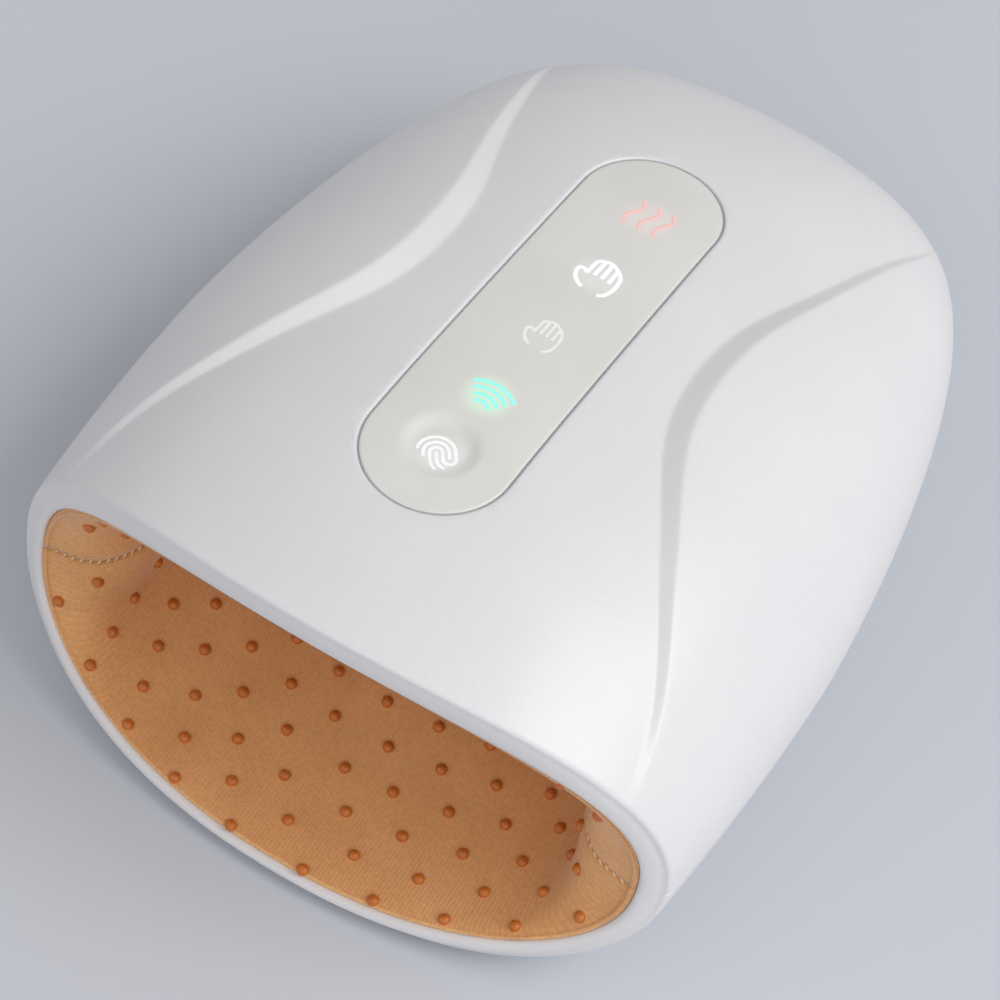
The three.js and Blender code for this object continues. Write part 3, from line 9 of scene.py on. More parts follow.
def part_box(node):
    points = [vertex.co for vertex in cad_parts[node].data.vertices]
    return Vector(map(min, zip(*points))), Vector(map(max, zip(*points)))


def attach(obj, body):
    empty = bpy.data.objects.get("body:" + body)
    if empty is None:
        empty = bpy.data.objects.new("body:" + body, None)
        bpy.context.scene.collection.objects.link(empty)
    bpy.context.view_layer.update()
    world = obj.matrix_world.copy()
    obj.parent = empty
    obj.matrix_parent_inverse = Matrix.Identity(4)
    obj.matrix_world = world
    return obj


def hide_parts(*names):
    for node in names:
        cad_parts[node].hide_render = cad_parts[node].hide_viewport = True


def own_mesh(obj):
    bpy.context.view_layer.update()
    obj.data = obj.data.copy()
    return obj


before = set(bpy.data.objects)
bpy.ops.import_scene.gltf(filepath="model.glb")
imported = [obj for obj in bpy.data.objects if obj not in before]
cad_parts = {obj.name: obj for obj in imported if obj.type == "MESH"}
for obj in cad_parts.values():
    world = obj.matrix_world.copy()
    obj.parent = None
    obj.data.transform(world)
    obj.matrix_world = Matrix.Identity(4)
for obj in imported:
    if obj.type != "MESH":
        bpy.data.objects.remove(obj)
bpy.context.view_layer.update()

# Camera: it stands to the right of the mouth and looks steeply down on the crown, rolled a little
# clockwise, through a long lens.
view_azimuth = math.radians(26.389)
view_elevation = math.radians(54.901)
view_roll = math.radians(6.676)
view_distance = 0.67907
view_target = Vector((0.000596, -0.018274, 0.0376))
sensor_width = 36
focal_pixels = 2926.42
picture_pixels = 1000

towards = Vector((
    math.sin(view_azimuth) * math.cos(view_elevation),
    -math.cos(view_azimuth) * math.cos(view_elevation),
    math.sin(view_elevation),
))
level = Vector((math.cos(view_azimuth), math.sin(view_azimuth), 0))
climb = towards.cross(level)
picture_right = math.cos(view_roll) * level + math.sin(view_roll) * climb
picture_up = math.cos(view_roll) * climb - math.sin(view_roll) * level
lens = bpy.data.cameras.new("camera")
lens.sensor_width = sensor_width
lens.lens = focal_pixels * sensor_width / picture_pixels
lens.clip_start = 0.05
lens.clip_end = 20
camera = bpy.data.objects.new("camera", lens)
turn = Matrix((picture_right, picture_up, towards)).transposed().to_4x4()
camera.matrix_world = Matrix.Translation(view_target + view_distance * towards) @ turn
bpy.context.scene.collection.objects.link(camera)
bpy.context.scene.camera = camera
bpy.context.scene.view_settings.view_transform = "Standard"


# Bottom cover: the tray of the housing, injection moulded in pearl-white ABS. Its lofted sides run up
# to the parting line, and its front edge turns in as the lower half of the rim. Sizes in millimetres,
# depths back from the mouth's crown edge, heights from the ground.
nose_depth = 211
half_width = 88
mouth_narrowing = 4.9
shoulder_depth = 77
plan_powers = (1.5, 4.5)
housing_drop = 36
keel_powers = (2.54, 2.21)
lower_powers = (3.26, 2.28)
parting_height = 38.5
parting_gap = 0.05
parting_round = 0.35
wall = 2.4
crown_edge_rise = 49.5
rim_side_setback = 14.2
rim_slant = 0.217
rim_edge = 1.4
rim_bulge = 1.2
rim_thickness = 2.8
mouth_edge = 1.3
mouth_half_width = 78
mouth_drop = 32.9
lower_mouth_power = 2.49
quarter = math.pi / 2
angle_step = 0.02
forward = Vector((0, 1, 0))
upward = Vector((0, 0, 1))
crown_edge = nose_depth - 1000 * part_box("top_cover")[1].y


def metres(point):
    return Vector((point.x, point.y - crown_edge, point.z)) / 1000


def closing(place, powers):
    return (1 - min(max(place, 0), 1) ** powers[0]) ** (1 / powers[1])


def half_width_at(depth):
    if depth < shoulder_depth:
        return half_width - mouth_narrowing * (1 - depth / shoulder_depth) ** 2
    return half_width * closing((depth - shoulder_depth) / (nose_depth - shoulder_depth), plan_powers)


def drop_at(depth):
    return housing_drop * closing((depth - shoulder_depth) / (nose_depth - shoulder_depth), keel_powers)


def lower_surface(depth, angle):
    x = half_width_at(depth) * math.sin(abs(angle)) ** (2 / lower_powers[0])
    down = drop_at(depth) * max(math.cos(angle), 0) ** (2 / lower_powers[1])
    return Vector((math.copysign(x, angle), depth, parting_height - max(down, parting_gap / 2)))


def rim_depth(x, height):
    over = height - parting_height
    return rim_side_setback * (x / half_width) ** 2 + rim_slant * over * (1 - over / crown_edge_rise)


def inward_normal(surface, depth, angle, reach, end, middle):
    """Unit normal of a surface towards its middle, from points a reach ahead and behind."""
    low, high = max(angle - angle_step, -quarter), min(angle + angle_step, quarter)
    across = surface(depth, high) - surface(depth, low)
    if abs(angle) > quarter - 1e-6:
        across = upward
    along_depth = surface(min(depth + reach, end), angle) - surface(depth - reach, angle)
    normal = along_depth.cross(across).normalized()
    inside = Vector((0, min(depth, middle), parting_height))
    if normal.dot(inside - surface(depth, angle)) < 0:
        normal.negate()
    return normal


def inset(surface, depth, angle, distance):
    """Point of a surface moved inwards along its normal, kept on its own side of the parting plane."""
    here = surface(depth, angle)
    if depth >= nose_depth:
        return here - distance * forward
    side = math.copysign(1, here.z - parting_height)
    here += distance * inward_normal(surface, depth, angle, wall, nose_depth, shoulder_depth)
    here.z = parting_height + side * max(side * (here.z - parting_height), parting_gap / 2)
    return here


def outside_point(surface, depth, angle):
    """Point of the outer face, with the edge at the parting line rounded over."""
    here = surface(depth, angle)
    over = max(abs(here.z - parting_height) - parting_gap / 2, 0)
    if over >= parting_round or depth >= nose_depth:
        return here
    inwards = inset(surface, depth, angle, 1) - here
    inwards.z = 0
    cut = parting_round - math.sqrt(parting_round**2 - (parting_round - over) ** 2)
    return here + cut * inwards.normalized()


def mouth_point(side, angle, border):
    power, height = mouth_outlines[side]
    x = (mouth_half_width + border) * math.sin(abs(angle)) ** (2 / power)
    over = max((height + border) * max(math.cos(angle), 0) ** (2 / power), parting_gap / 2)
    here = Vector((math.copysign(x, angle), 0, parting_height + side * over))
    here.y = rim_depth(here.x, here.z)
    return here


mouth_outlines = {-1: (lower_mouth_power, mouth_drop)}
nose_rows = 60
flank_rows = 30
inner_rows = 36
arc_rows = 5
face_rows = 5
sharp_edge = 35


def cover_rows(surface, side, angle_at, column):
    """One line of a cover's section: over the outside from the nose to the rim, round the rim, and back
    over the inside to the nose."""
    front = rim_depth(0, parting_height)
    for _ in range(6):
        point = surface(front, angle_at(front, column))
        front = rim_depth(point.x, point.z)

    def depth_of(row, rows, end):
        share = row / rows
        if share > 2 / 3:
            return shoulder_depth + (end - shoulder_depth) * (share - 2 / 3) * 3
        turned = math.sin(quarter * (1 - (share * 3 / 2) ** 2))
        return shoulder_depth + (nose_depth - shoulder_depth) * turned ** (2 / plan_powers[0])

    line = []
    outer_rows = nose_rows + flank_rows
    for row in range(outer_rows + 1):
        depth = depth_of(row, outer_rows, front + rim_edge)
        line.append(outside_point(surface, depth, angle_at(depth, column)))
    angle = angle_at(front, column)
    core = inset(surface, front + rim_edge, angle, rim_edge)
    outwards = line[-1] - core
    ahead = Vector((0, rim_depth(core.x, core.z) - core.y, 0))
    for row in range(1, arc_rows + 1):
        bend = quarter * row / arc_rows
        line.append(core + math.cos(bend) * outwards + math.sin(bend) * ahead)
    start = line[-1]
    end = mouth_point(side, angle_at(0, column), mouth_edge)
    for row in range(1, face_rows + 1):
        share = row / face_rows
        point = start.lerp(end, share)
        point.y = rim_depth(point.x, point.z) - rim_bulge * share * (2 - share)
        line.append(point)
    inwards = mouth_point(side, angle_at(0, column), 0) - end
    inwards.y = 0
    for row in range(1, arc_rows + 1):
        bend = quarter * row / arc_rows
        back = mouth_edge * (1 - math.cos(bend))
        line.append(point + math.sin(bend) * inwards + back * forward)
    lip = mouth_point(side, angle_at(0, column), 0)
    line.append(lip + rim_thickness * forward)
    first = inset(surface, front + rim_thickness, angle, wall)
    line.append(line[-1].lerp(first, 0.5))
    for row in range(inner_rows, -1, -1):
        depth = depth_of(row, inner_rows, front + rim_thickness)
        line.append(inset(surface, depth, angle_at(depth, column), wall))
    return line


def sheet_of(lines, across=None):
    """A mesh whose grid takes its places from the lines, with shared corners merged. For cloth, the length
    across to each line and the depth are kept in an attribute."""
    mesh = bmesh.new()
    rows, columns = len(lines[0]) - 1, len(lines) - 1
    bmesh.ops.create_grid(mesh, x_segments=columns, y_segments=rows, size=1)
    flat = mesh.verts.layers.float_vector.new("cloth") if across else None
    for vert in mesh.verts:
        column = round((vert.co.x + 1) / 2 * columns)
        row = round((vert.co.y + 1) / 2 * rows)
        if across:
            vert[flat] = Vector((across[column], lines[column][row].y, 0)) / 1000
        vert.co = metres(lines[column][row])
    bmesh.ops.remove_doubles(mesh, verts=mesh.verts, dist=1e-6)
    return mesh


def piece_from(mesh, name, sharp_angle=sharp_edge):
    """Turns a mesh into an object at the origin with outward faces and soft shading."""
    bmesh.ops.recalc_face_normals(mesh, faces=mesh.faces)
    data = bpy.data.meshes.new(name)
    mesh.to_mesh(data)
    mesh.free()
    data.shade_smooth()
    data.set_sharp_from_angle(angle=math.radians(sharp_angle))
    piece = bpy.data.objects.new(name, data)
    bpy.context.scene.collection.objects.link(piece)
    return piece


def baked(piece):
    """The mesh of an object as its modifiers or its curve make it."""
    bpy.context.view_layer.update()
    return bpy.data.meshes.new_from_object(piece.evaluated_get(bpy.context.evaluated_depsgraph_get()))


def carved(piece, cutter, operation="DIFFERENCE"):
    """Joins a piece with a cutter or cuts it by it, and removes the cutter."""
    modifier = piece.modifiers.new("carve", "BOOLEAN")
    modifier.operation = operation
    modifier.solver = "EXACT"
    modifier.object = cutter
    data = baked(piece)
    piece.modifiers.clear()
    old, piece.data = piece.data, data
    bpy.data.meshes.remove(old)
    bpy.data.objects.remove(cutter)
    data.shade_smooth()
    data.set_sharp_from_angle(angle=math.radians(sharp_edge))
    return piece


def cover(name, surface, side, angle_at, columns):
    """A cover of the housing as one closed solid, from its section lines."""
    mesh = sheet_of([cover_rows(surface, side, angle_at, column) for column in range(-columns, columns + 1)])
    rim_edges = [e for e in mesh.edges if e.is_boundary]
    bmesh.ops.triangle_fill(mesh, use_beauty=True, edges=rim_edges)
    return piece_from(mesh, name)


def housed(piece, material):
    """Gives a piece its one material and its slot, and lets it ride the housing."""
    piece.data.materials.clear()
    piece.data.materials.append(material)
    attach(piece, "housing")


def middle_of(node):
    low, high = (Vector(corner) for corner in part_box(node))
    return (low + high) / 2


def bevel(mesh, edges, offset, segments):
    bmesh.ops.bevel(
        mesh, geom=edges, offset=offset / 1000, affect="EDGES", segments=segments, profile=0.5, material=-1,
    )


def disc(mesh, radius, bottom, top, x, depth, edge=0):
    """An upright round bar between two heights, with its lower edge bevelled."""
    middle = Matrix.Translation(metres(Vector((x, depth, (bottom + top) / 2))))
    made = bmesh.ops.create_cone(
        mesh, cap_ends=True, segments=48, radius1=radius / 1000, radius2=radius / 1000,
        depth=(top - bottom) / 1000, matrix=middle,
    )
    if edge:
        ring = {v for v in made["verts"] if v.co.z < bottom / 1000 + 1e-6}
        bevel(mesh, [e for e in mesh.edges if ring.issuperset(e.verts)], edge, 3)


lower_columns = 44
edge_heights = (0.6, 0.35, 0.22, 0.12, 0.05, 0.0)
foot_places = [(x, depth) for depth in (22, 132) for x in (-40, 40)]
rear_screw = 1000 * middle_of("cover_screw_4")
screw_places = [(-66, 142), (66, 142)]
screw_places += [(hand * rear_screw.x, rear_screw.y + crown_edge) for hand in (-1, 1)]
foot_radius = 6
foot_play = 0.3
foot_recess_top = 3.5
pad_radius = 7.8
pad_heights = (1.3, 6)
pad_edge = 0.5
below_ground = -1
screw_hole_radius = 2.9
screw_hole_top = 13
slot_size = (1.8, 8, 20)
slot_rounding = slot_size[0] / 2.1
slot_pitch = 4.4
slot_place = (156.5, 10)
socket_height = 1000 * middle_of("charging_socket").z
socket_back = 1000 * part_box("charging_socket")[1].y + crown_edge
socket_cuts = (("socket_hole", 9.6, 3.8, socket_back - 9), ("plug_recess", 12.4, 6.4, socket_back + 0.3))
past_nose = nose_depth + 5


def edge_angles(span, power):
    """Angles at which a section stands at the edge heights off the parting plane."""
    return [math.acos(min((h + parting_gap / 2) / span, 1) ** (power / 2)) for h in edge_heights]


def lower_angle(depth, column):
    """Angle of a column of the bottom cover; the last columns close up to the parting line."""
    side = math.copysign(1, column)
    reach = abs(column)
    near = lower_columns - len(edge_heights)
    drop = drop_at(depth)
    if drop < parting_round * 2:
        return side * quarter * reach / lower_columns
    edges = edge_angles(drop, lower_powers[1])
    if reach <= near:
        return side * edges[0] * reach / (near + 1)
    return side * edges[int(reach) - near - 1]


tray = cover("tray", lower_surface, -1, lower_angle, lower_columns)

mesh = bmesh.new()
for x, depth in foot_places:
    disc(mesh, pad_radius, *pad_heights, x, depth, edge=pad_edge)
carved(tray, piece_from(mesh, "pads"), "UNION")
mesh = bmesh.new()
for x, depth in foot_places:
    disc(mesh, foot_radius + foot_play, below_ground, foot_recess_top, x, depth)
for x, depth in screw_places:
    disc(mesh, screw_hole_radius, below_ground, screw_hole_top, x, depth)
for k in range(-2, 3):
    made = bmesh.ops.create_cube(mesh, size=1)
    size = Matrix.Diagonal((*(side / 1000 for side in slot_size), 1))
    middle = Matrix.Translation(metres(Vector((k * slot_pitch, *slot_place))))
    bmesh.ops.transform(mesh, matrix=middle @ size, verts=made["verts"])
    corners = set(made["verts"])
    tall = lambda edge: abs(edge.verts[0].co.z - edge.verts[1].co.z) > 0.01
    sides = [e for e in mesh.edges if corners.issuperset(e.verts) and tall(e)]
    bevel(mesh, sides, slot_rounding, 5)
carved(tray, piece_from(mesh, "floor_holes"))
for name, width, height, start in socket_cuts:
    mesh = bmesh.new()
    bar = bmesh.ops.create_cone(
        mesh, cap_ends=True, segments=40, radius1=height / 2000, radius2=height / 2000,
        depth=(past_nose - start) / 1000,
    )
    for vert in bar["verts"]:
        vert.co.x += math.copysign((width - height) / 2000, vert.co.x)
    middle = Matrix.Translation(metres(Vector((0, (start + past_nose) / 2, socket_height))))
    bmesh.ops.transform(mesh, matrix=middle @ Matrix.Rotation(quarter, 4, "X"), verts=bar["verts"])
    carved(tray, piece_from(mesh, name))


def linear(colour):
    """sRGB hex colour as linear light, for a shader."""
    parts = [int(colour[k:k + 2], 16) / 255 for k in (1, 3, 5)]
    return [p / 12.92 if p <= 0.04045 else ((p + 0.055) / 1.055) ** 2.4 for p in parts] + [1]


def add(tree, kind, settings=None, links=None):
    """Adds a node. Settings name its sockets, its own values or the stops of a colour ramp, and links name
    the sockets that feed it."""
    node = tree.nodes.new("ShaderNode" + kind)
    for name, value in (settings or {}).items():
        if name == "stops":
            for element, (place, colour) in zip(node.color_ramp.elements, value):
                element.position = place
                element.color = linear(colour) if isinstance(colour, str) else colour
        elif isinstance(name, int) or name in node.inputs:
            node.inputs[name].default_value = value
        else:
            setattr(node, name, value)
    for name, source in (links or {}).items():
        tree.links.new(source, node.inputs[name])
    return node


def new_material(name):
    """An empty material, its tree and the Object coordinates in it."""
    made = bpy.data.materials.new(name)
    made.use_nodes = True
    made.node_tree.nodes.clear()
    return made, made.node_tree, add(made.node_tree, "TexCoord").outputs["Object"]


def finished(tree, settings, links):
    """Closes a material with its shader and output."""
    shader = add(tree, "BsdfPrincipled", settings, links)
    add(tree, "OutputMaterial", links={"Surface": shader.outputs[0]})


def toned_material(name, tones, size, settings, detail=2.0, relief=None, grain_size=None, gloss_play=0):
    """A material whose colour drifts between two tones over a size in metres. Its grain gives the relief,
    as strength and depth, and lets the roughness play."""
    made, tree, coords = new_material(name)
    cloud = add(tree, "TexNoise", {"Scale": 1 / size, "Detail": detail}, {"Vector": coords})
    tint = add(tree, "ValToRGB", {"stops": tones}, {"Fac": cloud.outputs["Fac"]})
    links = {"Base Color": tint.outputs["Color"]}
    grain = cloud.outputs["Fac"]
    if grain_size:
        fine = add(tree, "TexNoise", {"Scale": 1 / grain_size, "Detail": 3.0}, {"Vector": coords})
        grain = fine.outputs["Fac"]
    if relief:
        bump = add(tree, "Bump", {"Strength": relief[0], "Distance": relief[1]}, {"Height": grain})
        links["Normal"] = bump.outputs["Normal"]
    if gloss_play:
        least, most = settings["Roughness"] - gloss_play, settings["Roughness"] + gloss_play
        gloss = add(tree, "MapRange", {"To Min": least, "To Max": most}, {"Value": grain})
        links["Roughness"] = gloss.outputs["Result"]
    finished(tree, settings, links)
    return made


# Pearl ABS, moulded in a polished tool: a bright even gloss over a faint mica shimmer, with the very
# shallow orange peel of a large moulding. The peel is drawn at 9 mm and the mica at 0.35 mm, coarser
# than real, so that they show.
multiplied = {"data_type": "RGBA", "blend_type": "MULTIPLY", "Factor": 1.0}
pearl, tree, coords = new_material("pearl_abs_moulded")
mica = add(tree, "TexNoise", {"Scale": 1 / 0.00035, "Detail": 2.0, "Roughness": 0.6}, {"Vector": coords})
flow = add(tree, "TexNoise", {"Scale": 1 / 0.03, "Detail": 2.0}, {"Vector": coords})
peel = add(tree, "TexNoise", {"Scale": 1 / 0.009, "Detail": 1.0}, {"Vector": coords})
tint = add(tree, "ValToRGB", {"stops": ((0.3, "#e3e1e2"), (0.7, "#eae8e9"))}, {"Fac": mica.outputs["Fac"]})
cloud = add(tree, "ValToRGB", {"stops": ((0.35, "#fcfcfd"), (0.7, "#ffffff"))}, {"Fac": flow.outputs["Fac"]})
colour = add(tree, "Mix", multiplied, {6: tint.outputs["Color"], 7: cloud.outputs["Color"]})
gloss = add(tree, "MapRange", {"To Min": 0.34, "To Max": 0.42}, {"Value": flow.outputs["Fac"]})
bump = add(tree, "Bump", {"Strength": 0.06, "Distance": 0.0003}, {"Height": peel.outputs["Fac"]})
finished(
    tree, {"IOR": 1.5, "Coat Weight": 0.12, "Coat Roughness": 0.2},
    {"Base Color": colour.outputs[2], "Roughness": gloss.outputs["Result"], "Normal": bump.outputs["Normal"]},
)
housed(tray, pearl)
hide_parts("bottom_cover")

# Feet: round rubber pads pressed into the recesses of the tray, with a shallow hollow underneath. Black
# moulded rubber: matt, with a fine spark-eroded grain drawn at 0.5 mm.
foot_height = 3.2
foot_edge = 0.8
foot_rim = 1.6
foot_hollow = 0.4
rubber = toned_material(
    "black_rubber_moulded", ((0.3, "#222226"), (0.75, "#2f2f33")), 0.0005, {"Roughness": 0.78, "IOR": 1.5},
    detail=3.0, relief=(0.25, 0.0001),
)
for k, (x, depth) in enumerate(foot_places):
    mesh = bmesh.new()
    disc(mesh, foot_radius, 0, foot_height, x, depth, edge=foot_edge)
    base = [f for f in mesh.faces if f.calc_center_median().z < 1e-6]
    bmesh.ops.inset_region(mesh, faces=base, thickness=foot_rim / 1000)
    bmesh.ops.translate(mesh, verts=base[0].verts, vec=(0, 0, foot_hollow / 1000))
    foot = piece_from(mesh, f"rubber_foot_{k + 1}")
    housed(foot, rubber)
    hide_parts(f"foot_{k + 1}")

# Steel of the small parts inside: zinc-plated screws, pump can, valves and socket shell, with the faint
# cloudy tone of plating and fine drawn lines.
steel, tree, coords = new_material("steel_zinc_plated")
cloud = add(tree, "TexNoise", {"Scale": 1 / 0.004, "Detail": 3.0}, {"Vector": coords})
drawn = add(tree, "Mapping", {"Scale": (40, 1, 1)}, {"Vector": coords})
streaks = add(tree, "TexNoise", {"Scale": 1 / 0.006, "Detail": 2.0}, {"Vector": drawn.outputs["Vector"]})
tint = add(tree, "ValToRGB", {"stops": ((0.3, "#a9acb1"), (0.7, "#c4c6ca"))}, {"Fac": cloud.outputs["Fac"]})
gloss = add(tree, "MapRange", {"To Min": 0.25, "To Max": 0.42}, {"Value": streaks.outputs["Fac"]})
finished(
    tree, {"Metallic": 1.0}, {"Base Color": tint.outputs["Color"], "Roughness": gloss.outputs["Result"]},
)

# Inner parts: boards, plastics, films, copper and hoses behind the covers. They keep the shapes of the
# frame. Each finish has two tones, a roughness, whether it is metal, the size of its grain and its relief.
inner_finishes = {
    "board_lacquer": ("fibreglass_board_lacquered", "#245f40", "#34754f", 0.4, 0.0, 0.0008, 0.0),
    "dark_plastic": ("nylon_black_moulded", "#27282c", "#313238", 0.5, 0.0, 0.0006, 0.15),
    "grey_plastic": ("abs_grey_moulded", "#c2c2c4", "#cfcfd1", 0.55, 0.0, 0.0007, 0.15),
    "milky_plastic": ("acrylic_milky_moulded", "#e4e2da", "#edebe4", 0.42, 0.0, 0.0012, 0.05),
    "airbag_film": ("tpu_film_welded", "#aeb1ba", "#bfc2ca", 0.38, 0.0, 0.0025, 0.3),
    "carbon_film": ("carbon_film_printed", "#333336", "#424246", 0.6, 0.0, 0.0009, 0.2),
    "cell_wrap": ("pvc_sleeve_shrunk", "#356893", "#4276a5", 0.35, 0.0, 0.003, 0.1),
    "copper": ("copper_wire_coil", "#a76a38", "#c58147", 0.35, 1.0, 0.0004, 0.3),
    "hose_silicone": ("silicone_hose_extruded", "#dddbd3", "#e9e7df", 0.5, 0.0, 0.0015, 0.08),
}
slot_materials = {"steel": steel, "pearl_shell": pearl, "black_rubber": rubber}
for slot_name, (name, dark, light, roughness, metallic, grain_size, relief) in inner_finishes.items():
    slot_materials[slot_name] = toned_material(
        name, ((0.3, dark), (0.7, light)), 0.012, {"Metallic": metallic, "Roughness": roughness},
        detail=1.0, relief=(relief, 0.0001), grain_size=grain_size, gloss_play=0.06,
    )
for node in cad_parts.values():
    cad_material = node.data.materials[0].name if node.data.materials else ""
    for slot_name, made in slot_materials.items():
        if cad_material.startswith(slot_name):
            node.data.materials[0] = made

# Valve springs: a coil of drawn steel wire stands on each plunger under its cap and pushes the valve shut.
# It is wound from round wire in four turns. Sizes in millimetres.
spring_radius = 1.7
spring_wire_radius = 0.25
spring_turns = 4
spring_facets = 16
for k in (1, 2):
    low, high = (Vector(corner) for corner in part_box(f"valve_spring_{k}"))
    centre = middle_of(f"valve_plunger_{k}")
    centre.z = low.z + spring_wire_radius / 1000
    rise = high.z - low.z - 2 * spring_wire_radius / 1000
    steps = spring_turns * spring_facets
    mesh = bmesh.new()
    wire = bmesh.ops.create_circle(mesh, cap_ends=True, radius=spring_wire_radius / 1000, segments=8)["verts"]
    bmesh.ops.rotate(mesh, verts=wire, cent=(0, 0, 0), matrix=Matrix.Rotation(quarter, 3, "X"))
    bmesh.ops.translate(mesh, verts=wire, vec=centre + Vector((spring_radius / 1000, 0, 0)))
    bmesh.ops.spin(
        mesh, geom=mesh.verts[:] + mesh.edges[:] + mesh.faces[:], cent=centre, axis=(0, 0, 1),
        dvec=(0, 0, rise / steps), angle=math.tau * spring_turns, steps=steps,
    )
    spring = piece_from(mesh, f"valve_coil_{k}", 50)
    housed(spring, steel)
    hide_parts(f"valve_spring_{k}")
    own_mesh(spring)

# Sleeve: stretch rib-knit cloth in two halves, sewn together along both sides and closed round the
# fingertips. Its front edge is bound by a folded hem behind the rim. Lengths in millimetres.
sleeve_depth = 148
sleeve_half_width = 76.5
sleeve_plan = (4, 3)
sleeve_height = (8, 3)
ceiling_rise = 40.8
ceiling_fall = 14
ceiling_fall_depth = 0.608 * sleeve_depth
floor_drop = 31.4
floor_lift = 11
floor_lift_depth = 52
upper_mouth_power = 2.13
crown_mouth_rise = 42.3
mouth_outlines[1] = (upper_mouth_power, crown_mouth_rise)
sleeve_setback = -0.3
cloth_thickness = 1.2
seam_gap = 0.15
side_tuck = (9, 12)
side_tuck_start = 0.4
side_tuck_depth = (1.0, 9)
side_tuck_spread = 0.65
seam_dip = 0.9
seam_dip_spread = 0.03
girth_depth = 40


def ease(place):
    place = min(max(place, 0), 1)
    return place * place * (3 - 2 * place)


def sleeve_point(side, depth, angle):
    """Point of the cloth's inner face."""
    reach = max(depth, 0) / sleeve_depth
    x = sleeve_half_width * closing(reach, sleeve_plan)
    if side > 0:
        power, height = upper_mouth_power, ceiling_rise - ceiling_fall * ease(depth / ceiling_fall_depth)
    else:
        power, height = lower_mouth_power, floor_drop - floor_lift * ease(depth / floor_lift_depth)
    height *= closing(reach, sleeve_height)
    x *= math.sin(abs(angle)) ** (2 / power)
    over = max(height * max(math.cos(angle), 0) ** (2 / power), seam_gap)
    inwards = max(depth - rim_depth(x, parting_height + side * over) - sleeve_setback - side_tuck_start, 0)
    tuck = sum(pull * (1 - math.exp(-inwards / reach)) for pull, reach in zip(side_tuck, side_tuck_depth))
    to_seam = quarter - abs(angle)
    x *= 1 - tuck / sleeve_half_width * math.exp(-((to_seam / side_tuck_spread) ** 2))
    x += seam_dip * ease(inwards / 2) * math.exp(-((to_seam / seam_dip_spread) ** 2))
    return Vector((math.copysign(x, angle), depth, parting_height + side * over))


def cloth_point(side, depth, angle, distance):
    """Point at a distance inside the cloth's inner face, or outside it where the distance is negative."""
    surface = lambda place, turned: sleeve_point(side, place, turned)
    normal = inward_normal(surface, depth, angle, 1, sleeve_depth, sleeve_depth - 50)
    return surface(depth, angle) + distance * normal


cloth_columns = 96
cloth_rows = 90
sleeve_angles = [quarter * (2 * column / cloth_columns - 1) for column in range(cloth_columns + 1)]


# Knit cloth: fine ribs run along the sleeve, 0.95 mm apart, over a loop texture at 0.5 mm. The yarn is
# a matt tan polyester with a soft sheen, and its tone drifts a little from place to place. The grooves
# between the ribs also carry painted shade, a few percent darker.
knit, tree, coords = new_material("polyester_rib_knit")
across_cloth = add(tree, "Attribute", {"attribute_name": "cloth"}).outputs["Vector"]
split = add(tree, "SeparateXYZ", links={"Vector": across_cloth})
rib_turn = add(tree, "Math", {"operation": "MULTIPLY", 1: 2 * math.pi / 0.00095}, {0: split.outputs["X"]})
rib = add(tree, "Math", {"operation": "SINE"}, {0: rib_turn.outputs[0]})
loops = add(tree, "TexNoise", {"Scale": 1 / 0.0005, "Detail": 3.0, "Roughness": 0.7}, {"Vector": coords})
drift = add(tree, "TexNoise", {"Scale": 1 / 0.02, "Detail": 3.0}, {"Vector": coords})
rib_share = add(tree, "MapRange", {"From Min": -1.0, "From Max": 1.0}, {"Value": rib.outputs[0]})
height = add(
    tree, "Math", {"operation": "MULTIPLY_ADD", 1: 0.55},
    {0: rib_share.outputs["Result"], 2: loops.outputs["Fac"]},
)
base = add(tree, "ValToRGB", {"stops": ((0.3, "#e3a468"), (0.7, "#eeb277"))}, {"Fac": drift.outputs["Fac"]})
# Painted shade: the colour darkens a little in the grooves between the ribs, following the rib profile.
rib_groove_painted_shade = add(
    tree, "ValToRGB", {"stops": ((0.0, "#f8f6f3"), (0.5, "#ffffff"))}, {"Fac": rib_share.outputs["Result"]},
)
fuzz = add(tree, "TexNoise", {"Scale": 1 / 0.0009, "Detail": 2.0}, {"Vector": coords})
pile = add(tree, "ValToRGB", {"stops": ((0.35, "#f3f1ef"), (0.6, "#ffffff"))}, {"Fac": fuzz.outputs["Fac"]})
knit_tone_with_painted_shade = add(tree, "Mix", multiplied, {6: base.outputs["Color"], 7: rib_groove_painted_shade.outputs["Color"]})
colour = add(tree, "Mix", multiplied, {6: knit_tone_with_painted_shade.outputs[2], 7: pile.outputs["Color"]})
bump = add(tree, "Bump", {"Strength": 0.35, "Distance": 0.0003}, {"Height": height.outputs[0]})
finished(
    tree, {"Roughness": 0.9, "Sheen Weight": 0.35, "Sheen Roughness": 0.5, "IOR": 1.45},
    {"Base Color": colour.outputs[2], "Normal": bump.outputs["Normal"]},
)

# Nubs: soft domes of brown silicone, printed on the knit in staggered rows that run across the hand. Their
# rows bow and close up as the cloth is stretched over the frames.
nub_print = toned_material(
    "silicone_nub_brown", ((0.3, "#c0651f"), (0.75, "#d27a2b")), 0.0015,
    {"Roughness": 0.34, "IOR": 1.43, "Coat Weight": 0.4, "Coat Roughness": 0.2},
)
nub_radius = 1.5
nub_height = 1.4
nub_pitch = (12.3, 2.7, 2.7)
nub_row_start = 6.3
nub_row_pitch = 8.7
nub_row_drift = (-0.6, 0.75)
nub_bow = 0.0036
nub_squeeze = 0.05
nub_squeeze_reach = 70
nub_edge = 0.1
nub_tip_gap = 8
nub_seam_gap = 0.06
nub_root = 0.1
nub_rows = (*range(17), -1, -2)
nub_least_gap = 8.5


def sleeve_front(side, angle):
    point = sleeve_point(side, 0, angle)
    return rim_depth(point.x, point.z) + sleeve_setback


